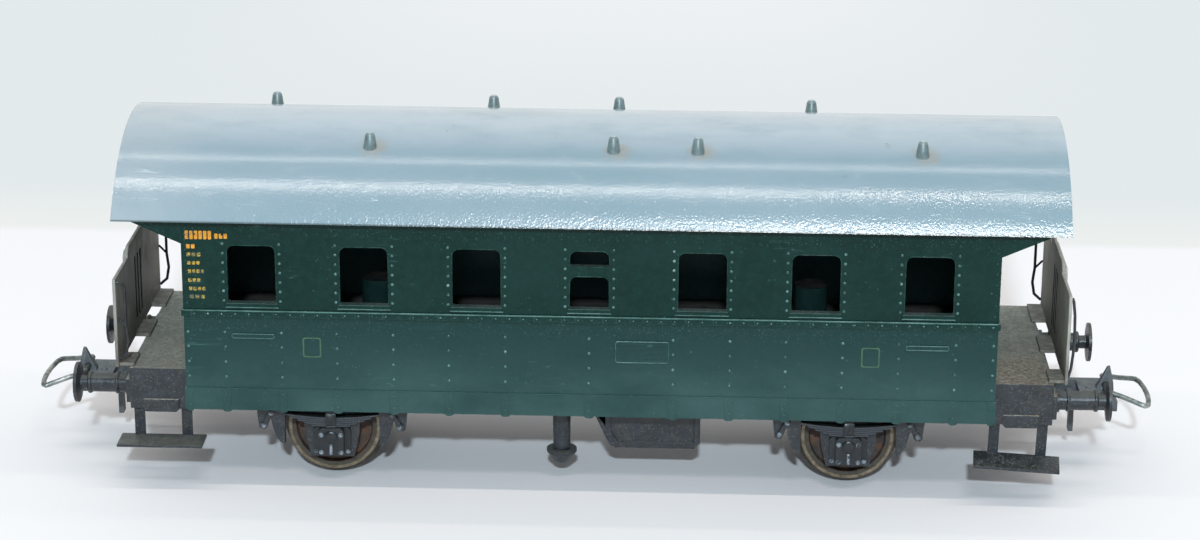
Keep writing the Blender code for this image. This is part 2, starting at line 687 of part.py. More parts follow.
def make_balustrade(label, end):
    face = end * BALUSTRADE_FACE
    back = end * (BALUSTRADE_FACE + BALUSTRADE_THICKNESS)
    bottom = FLOOR_TOP + SEAT
    raised = BALUSTRADE_TOP + RAISED_MIDDLE
    # y, z of the upper edge's right half
    half = (
        (FLOOR_HALF_WIDTH, bottom),
        (FLOOR_HALF_WIDTH, BALUSTRADE_TOP),
        (RAISED_HALF_WIDTH, BALUSTRADE_TOP),
        (RAISED_HALF_WIDTH, raised - RAISED_CORNER),
        (RAISED_HALF_WIDTH - RAISED_CORNER, raised),
    )
    outline = list(half) + [(-y, z) for y, z in reversed(half)]
    plate = prism(f"balustrade_{label}", outline, 0, face, back, "chassis_black")
    for start, stop in FOOT_SPANS:
        span = spread(face - end * FOOT_REACH, back - end * BALUSTRADE_THICKNESS / 2)
        low = (span[0], start * FLOOR_HALF_WIDTH, bottom)
        high = (span[1], stop * FLOOR_HALF_WIDTH, bottom + FOOT_THICKNESS)
        join(plate, box("foot_form", low, high))
    span = spread(face - end * CUT_MARGIN, back + end * CUT_MARGIN)
    for y in SLOT_PLACES:
        low = (span[0], y - SLOT_WIDTH / 2, FLOOR_TOP + SLOT_TO_FLOOR)
        high = (span[1], y + SLOT_WIDTH / 2, BALUSTRADE_TOP - SLOT_TO_TOP)
        cut(plate, box("slot_form", low, high))
    inner = BALUSTRADE_FACE + BALUSTRADE_THICKNESS + SEAT
    span = spread(end * inner, end * (inner + GANGWAY_THICKNESS))
    top = raised - GANGWAY_BELOW_TOP
    half_width = RAISED_HALF_WIDTH - RAISED_CORNER / 2
    outline = (
        (-half_width, bottom + FOOT_THICKNESS),
        (half_width, bottom + FOOT_THICKNESS),
        (half_width, top - RAISED_CORNER),
        (half_width - RAISED_CORNER, top),
        (RAISED_CORNER - half_width, top),
        (-half_width, top - RAISED_CORNER),
    )
    prism(f"gangway_plate_{label}", outline, 0, *span, "chassis_black")


def make_handrail(name, end, side, bow):
    """A bowed wire from the balustrade's top corner to its foot. A negative bow stands outboard."""
    y = side * (FLOOR_HALF_WIDTH - 2 * HANDRAIL_RADIUS)
    inboard = bow > 0
    face = BALUSTRADE_FACE - SEAT if inboard else BALUSTRADE_FACE + BALUSTRADE_THICKNESS + SEAT
    shape = INBOARD_RAIL if inboard else OUTBOARD_RAIL

    def along(pairs):
        return [(end * (face - share * bow), y, FLOOR_TOP + up * BALUSTRADE_RISE) for up, share in pairs]

    rail = bar_along(name, along(shape), (0, 1, 0), HANDRAIL_RADIUS, "chassis_black")
    if inboard:
        join(rail, bar_along("rail_link_form", along(RAIL_LINK), (0, 1, 0), HANDRAIL_RADIUS * 0.8))


def make_step(name, end, side, bent):
    middle = end * STEP_MIDDLE
    inner = side * STEP_INNER
    outer = side * (STEP_INNER + STEP_DEPTH)
    board = spread(inner, outer)
    low = (middle - STEP_LENGTH / 2, board[0], STEP_HEIGHT - STEP_THICKNESS)
    high = (middle + STEP_LENGTH / 2, board[1], STEP_HEIGHT)
    step = box(name, low, high, "chassis_black")
    for place in (-1, 1):
        x = middle + place * STIRRUP_SPACING / 2
        strip = spread(inner, inner + side * STIRRUP_THICKNESS)
        low = (x - STIRRUP_WIDTH / 2, strip[0], STEP_HEIGHT - STEP_THICKNESS / 2)
        high = (x + STIRRUP_WIDTH / 2, strip[1], FLOOR_BOTTOM - SEAT)
        join(step, box("stirrup_form", low, high))
    if bent:
        # the board leans outwards and to one end, and its stirrups stretch, while their tops stay where they are
        for thing in [step] + [modifier.object for modifier in step.modifiers]:
            for vert in thing.data.vertices:
                if vert.co.z < (STEP_HEIGHT + STEP_THICKNESS / 10) * MM:
                    along = vert.co.x - middle * MM
                    out = abs(vert.co.y) - STEP_INNER * MM
                    vert.co.z -= BENT_STEP_SLOPE * along + BENT_STEP_LEAN * out + BENT_STEP_DROP * MM
                    vert.co.x -= BENT_STEP_SHIFT * MM + BENT_STEP_SKEW * out


def make_buffer(name, end, side):
    base = BEAM_FACE + SEAT
    sleeve_end = base + BUFFER_SLEEVE_LENGTH
    head_back = BUFFER_FACE - BUFFER_HEAD_THICKNESS
    profile = (
        (base, 0.0),
        (base, BUFFER_BASE_RADIUS),
        (base + BUFFER_BASE_THICKNESS, BUFFER_BASE_RADIUS),
        (base + BUFFER_BASE_THICKNESS, BUFFER_SLEEVE_RADIUS),
        (sleeve_end, BUFFER_SLEEVE_RADIUS),
        (sleeve_end, BUFFER_PLUNGER_RADIUS),
        (head_back, BUFFER_PLUNGER_RADIUS),
        (head_back + BUFFER_HEAD_THICKNESS / 4, BUFFER_HEAD_RADIUS),
        (BUFFER_FACE - BUFFER_DOME, BUFFER_HEAD_RADIUS),
        (BUFFER_FACE - BUFFER_DOME * 0.3, BUFFER_HEAD_RADIUS * 0.6),
        (BUFFER_FACE, 0.0),
    )
    profile = [(end * along, radius) for along, radius in profile]
    centre = (0, side * BUFFER_HALF_SPACING, BUFFER_HEIGHT)
    turned(name, profile, 0, centre, "chassis_black")


def make_coupling(label, end):
    span = spread(end * CHANNEL_INNER_END, end * CHANNEL_OUTER_END)
    low = (span[0], -CHANNEL_HALF_WIDTH, CHANNEL_BOTTOM)
    high = (span[1], CHANNEL_HALF_WIDTH, CHANNEL_TOP)
    channel = box(f"coupler_{label}", low, high, "chassis_black")
    inner = CHANNEL_HALF_WIDTH - CHANNEL_WALL
    low = (span[0] - CUT_MARGIN, -inner, CHANNEL_BOTTOM - CUT_MARGIN)
    high = (span[1] + CUT_MARGIN, inner, CHANNEL_TOP - CHANNEL_WALL)
    cut(channel, box("channel_hollow_form", low, high))
    slot = spread(end * CHANNEL_SLOT_START, end * (CHANNEL_SLOT_START + CHANNEL_SLOT_LENGTH))
    low = (slot[0], -CHANNEL_SLOT_HALF_WIDTH, CHANNEL_BOTTOM)
    high = (slot[1], CHANNEL_SLOT_HALF_WIDTH, CHANNEL_TOP + CUT_MARGIN)
    cut(channel, box("channel_slot_form", low, high))
    join(channel, stop_plate_form(end), hook_form(end))
    tongue = spread(end * TONGUE_X, end * (TONGUE_X + TONGUE_WIDTH))
    strap = CHANNEL_BOTTOM + TONGUE_STRAP_HEIGHT
    half = CHANNEL_HALF_WIDTH - CHANNEL_WALL / 2
    join(channel, box("strap_form", (tongue[0], -half, CHANNEL_BOTTOM + EDGE / 3), (tongue[1], half, strap)))
    low = (tongue[0] + EDGE / 6, -TONGUE_HALF_DEPTH, CHANNEL_TOP - TONGUE_DROP)
    high = (tongue[1] - EDGE / 6, TONGUE_HALF_DEPTH, strap - EDGE / 3)
    join(channel, box("tongue_form", low, high))
    centre = (end * BAIL_PIVOT_X, 0, BAIL_PIVOT_Z)
    hole = BAIL_RADIUS + RUNNING
    across = HOOK_THICKNESS / 2 + CUT_MARGIN
    profile = ((-across, 0.0), (-across, hole), (across, hole), (across, 0.0))
    cut(channel, turned("pivot_hole_form", profile, 1, centre, steps=SMALL_STEPS))
    make_bail(label, end)


def stop_plate_form(end):
    """The plate across the channel's end that the bail's arms lie on, bevelled along its outer top edge."""
    inner = end * (CHANNEL_OUTER_END - CHANNEL_WALL / 4)
    outer = end * (CHANNEL_OUTER_END + STOP_PLATE_THICKNESS)
    top = arm_height(CHANNEL_OUTER_END + STOP_PLATE_THICKNESS) - BAIL_RADIUS - SEAT
    outline = (
        (inner, CHANNEL_BOTTOM),
        (outer, CHANNEL_BOTTOM),
        (outer, top - STOP_PLATE_CHAMFER),
        (outer - end * STOP_PLATE_CHAMFER, top),
        (inner, top),
    )
    half = CHANNEL_HALF_WIDTH + STOP_PLATE_SIDE
    return prism("stop_plate_form", outline, 1, -half, half)


def hook_form(end):
    """The upright hook tooth, a fin that narrows towards its tip."""
    outline = []
    for share, up in HOOK_OUTLINE:
        outline.append((end * (CHANNEL_OUTER_END + share * HOOK_LENGTH), CHANNEL_TOP + up * HOOK_RISE))
    hook = prism("hook_form", outline, 1, -HOOK_THICKNESS / 2, HOOK_THICKNESS / 2)
    for vert in hook.data.vertices:
        up = (vert.co.z / MM - CHANNEL_TOP) / HOOK_RISE
        vert.co.y *= 1.0 - (1.0 - HOOK_TIP_SHARE) * up
    return hook


def arm_height(x):
    """The height of the bail's arms at this distance from the middle of the coach."""
    return BAIL_PIVOT_Z - BAIL_SLOPE * (x - BAIL_PIVOT_X)


def make_bail(label, end):
    """A closed wire loop: a cross bar through the hook's foot, two arms that spread, and a curved end."""
    half = [(BAIL_PIVOT_X + along, BAIL_ARM - inwards) for along, inwards in BAIL_CORNER]
    widening = BAIL_END_HALF_WIDTH - BAIL_ARM
    for share, out in BAIL_OUTLINE:
        half.append((BAIL_PIVOT_X + share * BAIL_REACH, BAIL_ARM + out * widening))
    loop = half + [(x, -y) for x, y in reversed(half)]
    path = [(end * x, y, arm_height(x)) for x, y in loop]
    normal = (end * BAIL_SLOPE, 0, 1)
    bar_along(f"bail_{label}", path, normal, BAIL_RADIUS, "steel", steps=10, closed=True)


def make_wheelset(label, x):
    # place across, radius
    axle = [
        (-JOURNAL_END, JOURNAL_RADIUS * 0.5),
        (-JOURNAL_END + EDGE, JOURNAL_RADIUS),
        (-WHEEL_FACE - EDGE * 1.3, JOURNAL_RADIUS),
        (-WHEEL_FACE - EDGE, AXLE_RADIUS),
    ]
    axle += [(-along, radius) for along, radius in reversed(axle)]
    axle = [(-JOURNAL_END, 0.0)] + axle + [(JOURNAL_END, 0.0)]
    turned(f"axle_{label}", axle, 1, (x, 0, AXLE_HEIGHT), "steel")
    bore = AXLE_RADIUS + SEAT
    rim_inner = TREAD_RADIUS - RIM_WIDTH
    # place out from the wheel's back, radius
    wheel = (
        (0.0, bore),
        (0.0, FLANGE_RADIUS - 0.25),
        (FLANGE_WIDTH * 0.3, FLANGE_RADIUS),
        (FLANGE_WIDTH * 0.65, FLANGE_RADIUS - 0.12),
        (FLANGE_WIDTH, TREAD_RADIUS + 0.12),
        (FLANGE_WIDTH + 0.2, TREAD_RADIUS),
        (WHEEL_WIDTH - 0.15, TREAD_RADIUS - 0.06),
        (WHEEL_WIDTH, TREAD_RADIUS - 0.2),
        (WHEEL_WIDTH, rim_inner),
        (WHEEL_WIDTH - WHEEL_DISC_RECESS, rim_inner - 0.15),
        (WHEEL_WIDTH - WHEEL_DISC_RECESS, HUB_RADIUS + 0.2),
        (WHEEL_WIDTH - 0.1, HUB_RADIUS),
        (WHEEL_WIDTH - 0.1, bore),
    )
    for side, side_name in ((-1, "near"), (1, "far")):
        profile = [(side * (WHEEL_BACK + along), radius) for along, radius in wheel]
        centre = (x, 0, AXLE_HEIGHT)
        turned(f"wheel_{label}_{side_name}", profile, 1, centre, "wheel_brown", steps=WHEEL_STEPS)


def leaf_spring_outline():
    """The outline (x, z) of the stack of leaves: a sagging top edge and a stepped lower one."""

    def top(x):
        return SPRING_TOP + SPRING_SAG * (x / LONGEST_LEAF) ** 2

    samples = 8
    upper = [LONGEST_LEAF * (2 * step / samples - 1) for step in range(samples + 1)]
    outline = [(x, top(x)) for x in upper]
    lengths = [
        LONGEST_LEAF + (SHORTEST_LEAF - LONGEST_LEAF) * leaf / (LEAVES - 1) for leaf in range(LEAVES)
    ]
    right = []
    for leaf, length in enumerate(lengths):
        depth = LEAF_THICKNESS * (leaf + 1)
        right.append((length, top(length) - depth))
        if leaf + 1 < LEAVES:
            right.append((lengths[leaf + 1], top(lengths[leaf + 1]) - depth))
    left = [(-x, z) for x, z in reversed(right)]
    return outline + right + left


def bevelled_box_outline(x, half_width):
    """The outline (x, z) of an axlebox's face: a rectangle with bevelled corners."""
    low = AXLE_HEIGHT - BOX_BELOW
    high = AXLE_HEIGHT + BOX_ABOVE
    # a wider face is a little lower, so that its edges never lie on those of a narrower one
    drop = BOX_EDGE * (half_width / BOX_HALF_WIDTH - 1.0)
    return (
        (x - half_width, low + BOX_EDGE + drop),
        (x - half_width + BOX_EDGE, low + drop),
        (x + half_width - BOX_EDGE, low + drop),
        (x + half_width, low + BOX_EDGE + drop),
        (x + half_width, high - BOX_EDGE - drop),
        (x + half_width - BOX_EDGE, high - drop),
        (x - half_width + BOX_EDGE, high - drop),
        (x - half_width, high - BOX_EDGE - drop),
    )


def make_running_gear(label, x, side, side_name):
    tag = f"{label}_{side_name}"
    rise = GUARD_TOP - AXLE_HEIGHT
    half = [(along * GUARD_HALF_LENGTH, AXLE_HEIGHT + up * rise) for along, up in GUARD_OUTLINE]
    outline = [(x + dx, z) for dx, z in half] + [(x - dx, z) for dx, z in reversed(half)]
    guard = prism(f"axle_guard_{tag}", outline, 1, side * GUARD_INNER, side * GUARD_OUTER, "chassis_black")
    for way in (-1, 1):
        join(guard, hanger_link_form(x, way, side, rise))
    centre = (x, 0, AXLE_HEIGHT)
    passage = AXLE_RADIUS + 2 * RUNNING
    reach = (GUARD_INNER - CUT_MARGIN, GUARD_OUTER + CUT_MARGIN)
    profile = [(side * reach[0], 0.0), (side * reach[0], passage), (side * reach[1], passage), (side * reach[1], 0.0)]
    cut(guard, turned("axle_passage_form", profile, 1, centre, steps=SMALL_STEPS))

    inner = GUARD_OUTER + SEAT
    flange = bevelled_box_outline(x, BOX_FLANGE_HALF_WIDTH)
    axlebox = prism(f"axlebox_{tag}", flange, 1, side * inner, side * (inner + BOX_FLANGE_THICKNESS), "chassis_black")
    front = bevelled_box_outline(x, BOX_HALF_WIDTH)
    join(axlebox, prism("box_front_form", front, 1, side * (inner + BOX_FLANGE_THICKNESS / 2), side * BOX_OUTER))
    boss = [
        (side * (BOX_OUTER - EDGE), 0.0),
        (side * (BOX_OUTER - EDGE), BOSS_RADIUS),
        (side * (BOX_OUTER + BOSS_PROUD * 0.7), BOSS_RADIUS),
        (side * (BOX_OUTER + BOSS_PROUD), BOSS_RADIUS * 0.6),
        (side * (BOX_OUTER + BOSS_PROUD), 0.0),
    ]
    join(axlebox, turned("boss_form", boss, 1, centre, steps=SMALL_STEPS))
    hole = JOURNAL_RADIUS + RUNNING
    bearing = [
        (side * (inner - CUT_MARGIN), 0.0),
        (side * (inner - CUT_MARGIN), hole),
        (side * (JOURNAL_END + 2 * RUNNING), hole),
        (side * (JOURNAL_END + 2 * RUNNING), 0.0),
    ]
    cut(axlebox, turned("bearing_form", bearing, 1, centre, steps=SMALL_STEPS))

    outline = [(x + dx, z) for dx, z in leaf_spring_outline()]
    spring = prism(f"leaf_spring_{tag}", outline, 1, side * inner, side * SPRING_OUTER, "chassis_black")
    buckle = spread(side * inner, side * BUCKLE_OUTER)
    low = (x - BUCKLE_WIDTH / 2, buckle[0], BUCKLE_BOTTOM)
    high = (x + BUCKLE_WIDTH / 2, buckle[1], BUCKLE_TOP)
    join(spring, box("buckle_form", low, high))


def hanger_link_form(x, way, side, rise):
    """The raised slanting link on the bracket that holds one end of the leaf spring."""
    ends = []
    for along, up in (LINK_HIGH, LINK_LOW):
        ends.append(Vector((x + way * along * GUARD_HALF_LENGTH, AXLE_HEIGHT + up * rise)))
    slant = (ends[1] - ends[0]).normalized()
    across = Vector((-slant.y, slant.x)) * (LINK_WIDTH / 2)
    high, low = ends[0] - slant * LINK_WIDTH / 2, ends[1] + slant * LINK_WIDTH / 2
    outline = (high - across, low - across, low + across, high + across)
    inner = side * (GUARD_OUTER - GUARD_THICKNESS / 2)
    return prism("hanger_link_form", outline, 1, inner, side * (GUARD_OUTER + LINK_PROUD))


def make_battery_box():
    top = FLOOR_BOTTOM - SEAT
    bottom = top - BATTERY_HEIGHT

    def placed(shares):
        return [(BATTERY_START + along * BATTERY_LENGTH, bottom + up * BATTERY_HEIGHT) for along, up in shares]

    outer = -BATTERY_OUTER
    battery = prism("battery_box", placed(BATTERY_OUTLINE), 1, outer, outer + BATTERY_DEPTH, "chassis_black")
    reach = (outer - CUT_MARGIN, outer + BATTERY_RECESS_DEPTH)
    cut(battery, prism("recess_form", placed(BATTERY_RECESS), 1, *reach))
    reach = (outer - CUT_MARGIN, outer + BATTERY_DEPTH + CUT_MARGIN)
    cut(battery, prism("gusset_hole_form", placed(BATTERY_GUSSET_HOLE), 1, *reach))


def make_outlet_pipe():
    top = FLOOR_BOTTOM - SEAT
    bottom = top - PIPE_LENGTH
    foot = bottom + PIPE_FOOT_HEIGHT
    profile = (
        (top, 0.0),
        (top, PIPE_RADIUS),
        (foot, PIPE_RADIUS * 0.92),
        (foot, PIPE_FOOT_RADIUS),
        (foot - PIPE_FOOT_EDGE, PIPE_FOOT_RADIUS),
        (bottom, PIPE_FOOT_RADIUS * 0.5),
        (bottom, 0.0),
    )
    turned("outlet_pipe", profile, 2, (PIPE_X, PIPE_Y * FLOOR_HALF_WIDTH, 0), "chassis_black")


def make_inside():
    floor = FLOOR_TOP + SEAT
    for label, end in (("left", -1), ("right", 1)):
        profile = ((floor, 0.0), (floor, POST_RADIUS), (POST_TOP, POST_RADIUS * 0.95), (POST_TOP, 0.0))
        turned(f"screw_post_{label}", profile, 2, (end * POST_X, 0, 0), "green_plastic")
    low = (-BALLAST_HALF_LENGTH, -BALLAST_HALF_WIDTH, floor)
    high = (BALLAST_HALF_LENGTH, BALLAST_HALF_WIDTH, floor + BALLAST_THICKNESS)
    box("ballast_plate", low, high, "steel")


def main():
    clear_scene()
    make_roof()
    make_body_shell()
    make_chassis()
    for label, end in (("left", -1), ("right", 1)):
        make_balustrade(label, end)
        make_coupling(label, end)
        make_wheelset(label, end * AXLE_PLACE)
        for side_name, side in (("near", -1), ("far", 1)):
            tag = f"{label}_{side_name}"
            bent = tag == BENT_CORNER
            make_handrail(f"handrail_{tag}", end, side, HANDRAIL_OUTBOARD_BOW if bent else HANDRAIL_BOW)
            make_step(f"step_{tag}", end, side, bent)
            make_buffer(f"buffer_{tag}", end, side)
            make_running_gear(label, end * AXLE_PLACE, side, side_name)
    make_battery_box()
    make_outlet_pipe()
    make_inside()


main()
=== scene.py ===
"""Looks of the small two-axle passenger coach with open end platforms.

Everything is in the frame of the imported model, in metres: X along the coach, Y across it, Z up. Sizes below
are in millimetres and MM turns them into metres.
"""

import math

import bmesh
import bpy
from mathutils import Matrix, Vector


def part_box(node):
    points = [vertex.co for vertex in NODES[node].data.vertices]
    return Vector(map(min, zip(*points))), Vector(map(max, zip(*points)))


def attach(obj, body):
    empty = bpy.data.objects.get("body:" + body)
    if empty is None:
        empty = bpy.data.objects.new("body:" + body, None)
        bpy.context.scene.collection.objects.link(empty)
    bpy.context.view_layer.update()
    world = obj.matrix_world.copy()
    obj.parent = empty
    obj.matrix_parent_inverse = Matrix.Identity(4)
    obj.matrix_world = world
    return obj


MM = 0.001

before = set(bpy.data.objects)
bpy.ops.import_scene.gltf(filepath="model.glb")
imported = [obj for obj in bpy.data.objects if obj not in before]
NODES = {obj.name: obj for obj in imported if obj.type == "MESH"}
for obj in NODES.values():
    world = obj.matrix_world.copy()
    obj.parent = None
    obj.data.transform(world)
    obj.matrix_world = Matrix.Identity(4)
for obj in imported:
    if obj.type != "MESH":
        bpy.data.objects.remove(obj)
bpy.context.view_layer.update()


def corners(node):
    """The lowest and highest corner of a CAD node, in millimetres."""
    low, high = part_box(node)
    return [value / MM for value in low], [value / MM for value in high]


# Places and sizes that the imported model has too
AXLE_LOW, AXLE_HIGH = corners("axle_right")
AXLE_X = (AXLE_LOW[0] + AXLE_HIGH[0]) / 2
AXLE_Z = (AXLE_LOW[2] + AXLE_HIGH[2]) / 2
SPRING_ABOVE_AXLE = 2.27
SPRING_SAG = 0.45
SPRING_HALF = 5.45
LEAF_HEIGHT = 0.24
BODY_BOTTOM = 9.8
WALL_Y = 14.8
BELT_Y = 15.02
BELT_TOP = 21.77
BELT_MIDDLE = 21.43
BELT_FOOT = 21.07
SKIRT_Y = 14.94
SKIRT_TOP = 12.4
WALL_X = 45.9
DOOR_X = WALL_X + 0.2
WINDOW_PITCH = 12.68
WINDOW_SILL = 22.65
WINDOW_TOP = 29.5
WINDOW_HALF = 2.75
MIDDLE_WINDOW_HALF = 2.225
DOOR_WINDOW_HALF = 2.2
COUPLER_TOP = 8.9
ROOF_RADIUS = 20.2
ROOF_CENTRE_Z = 41.15 - ROOF_RADIUS
NEAR_VENTS = ((-25.1, -8.4), (2.4, -8.4), (11.9, -8.4), (37.1, -8.4))
FAR_VENTS = ((-37.9, 8.4), (-12.3, 8.4), (2.5, 8.4), (25.1, 8.4))

# Sockets of the mix node that hold colours
COLOR_INPUTS = (6, 7)
COLOR_OUTPUT = 2


class Graph:
    """Builds a node tree. Its x, y and z are the parts of one kind of texture coordinate, times scale."""

    def __init__(self, tree, kind, scale):
        self.tree = tree
        coordinates = self.node("ShaderNodeTexCoord").outputs[kind]
        scaled = self.node("ShaderNodeVectorMath", {0: coordinates, "Scale": scale}, operation="SCALE")
        self.place = scaled.outputs[0]
        self.x, self.y, self.z = self.node("ShaderNodeSeparateXYZ", {0: self.place}).outputs

    def node(self, kind, inputs=None, **settings):
        """A new node with its settings, and with some of its inputs filled."""
        made = self.tree.nodes.new(kind)
        for name, value in settings.items():
            setattr(made, name, value)
        self.fill(made, inputs or {})
        return made

    def fill(self, node, inputs):
        """Links inputs of a node or sets them to plain values, where three numbers can be a colour."""
        for name, value in inputs.items():
            socket = node.inputs[name]
            if isinstance(value, bpy.types.NodeSocket):
                self.tree.links.new(value, socket)
            elif socket.type == "RGBA":
                socket.default_value = (*value, 1.0)
            else:
                socket.default_value = value

    def math(self, operation, first, second=0.0):
        return self.node("ShaderNodeMath", {0: first, 1: second}, operation=operation).outputs[0]

    def times(self, first, second):
        return self.math("MULTIPLY", first, second)

    def plus(self, first, second):
        return self.math("ADD", first, second)

    def most(self, first, second):
        return self.math("MAXIMUM", first, second)

    def other(self, value):
        return self.math("SUBTRACT", 1.0, value)

    def size_of(self, value):
        return self.math("ABSOLUTE", value)

    def between(self, value, low, high):
        """Rises smoothly from 0 at low to 1 at high, and falls where low is above high."""
        falls = low > high
        limits = {"From Min": min(low, high), "From Max": max(low, high)}
        limits.update({"Value": value, "To Min": float(falls), "To Max": float(not falls)})
        return self.node("ShaderNodeMapRange", limits, interpolation_type="SMOOTHSTEP").outputs["Result"]

    def stretched(self, stretch, shift, turn):
        settings = {"Vector": self.place, "Location": shift, "Rotation": turn, "Scale": stretch}
        return self.node("ShaderNodeMapping", settings).outputs[0]

    def noise(self, scale, detail=5.0, rough=0.7, stretch=(1, 1, 1), shift=(0, 0, 0), turn=(0, 0, 0)):
        """Soft noise about 0.5, with scale in cycles per millimetre."""
        place = self.stretched(stretch, shift, turn)
        settings = {"Vector": place, "Scale": scale, "Detail": detail, "Roughness": rough}
        return self.node("ShaderNodeTexNoise", settings).outputs["Fac"]

    def patches(self, low, high, scale, *settings, **named):
        """Noise with more contrast: 0 where it is below low and 1 where it is above high."""
        return self.between(self.noise(scale, *settings, **named), low, high)

    def specks(self, scale, radius, share, shift=(0, 0, 0)):
        """Scattered small dots, where share says how much of the surface has any."""
        place = self.stretched((1, 1, 1), shift, (0, 0, 0))
        cells = self.node("ShaderNodeTexVoronoi", {"Vector": place, "Scale": scale})
        dots = self.between(cells.outputs["Distance"], radius, radius * 0.55)
        where = self.patches(1.02 - share, 1.08 - share, scale * 0.21, 2.0, 0.55, shift=shift)
        return self.times(dots, where)

    def scratches(self, scale, turn, width, share, stretch=(0.05, 0.05, 1.0), shift=(0, 0, 0)):
        """Thin lines along one direction, broken by noise."""
        lines = self.noise(scale, 1.0, 0.3, stretch, shift, turn)
        thin = self.between(self.size_of(self.plus(lines, -0.5)), width, width * 0.3)
        aside = (shift[0] + 7.0, shift[1], shift[2])
        return self.times(thin, self.patches(1.0 - share, 1.1 - share, 0.12, 2.0, 0.55, shift=aside))

    def mix(self, share, first, second):
        """The first colour where share is 0, the second where it is 1."""
        colors = {COLOR_INPUTS[0]: first, COLOR_INPUTS[1]: second}
        return self.node("ShaderNodeMix", {"Factor": share, **colors}, data_type="RGBA").outputs[COLOR_OUTPUT]

    def cover(self, base, color, share, amount):
        """The base, covered by up to that amount of a colour where share is 1."""
        return self.mix(self.times(share, amount), base, color)

    def length(self, first, second):
        """The length of a step with these two parts."""
        return self.math("SQRT", self.plus(self.times(first, first), self.times(second, second)))


class Finish(Graph):
    """The node tree of one material. Lengths in it are millimetres along the object's own axes."""

    def __init__(self, name, color, roughness, metallic=0.0, specular=0.5):
        self.material = bpy.data.materials.new(name)
        self.material.use_nodes = True
        super().__init__(self.material.node_tree, "Object", 1.0 / MM)
        self.shader = self.tree.nodes["Principled BSDF"]
        self.fill(self.shader, {"Base Color": color, "Roughness": roughness})
        self.fill(self.shader, {"Metallic": metallic, "Specular IOR Level": specular})
        self.facing = None

    def normal(self):
        """The three parts of the direction that a face looks in."""
        if self.facing is None:
            normal = self.node("ShaderNodeNewGeometry").outputs["True Normal"]
            self.facing = self.node("ShaderNodeSeparateXYZ", {0: normal}).outputs
        return self.facing

    def up(self):
        """1 on faces that look up, 0 on walls and undersides."""
        return self.between(self.normal()[2], 0.55, 0.85)

    def down(self):
        """1 on undersides, 0 on walls and on faces that look up."""
        return self.between(self.normal()[2], -0.55, -0.85)

    def finish(self, color, rough, relief):
        """The material with its colour, its roughness and its relief.

        Roughness is (share, low, high), and relief is (height from 0 to 1, depth in millimetres, strength).
        """
        height, depth, strength = relief
        settings = {"Strength": strength, "Distance": depth * MM, "Height": height}
        bump = self.node("ShaderNodeBump", settings)
        self.fill(self.shader, {"Base Color": color, "Normal": bump.outputs["Normal"]})
        if rough:
            share, low, high = rough
            spread = self.node("ShaderNodeMapRange", {"Value": share, "To Min": low, "To Max": high})
            self.fill(self.shader, {"Roughness": spread.outputs["Result"]})
        return self.material


# Finishes


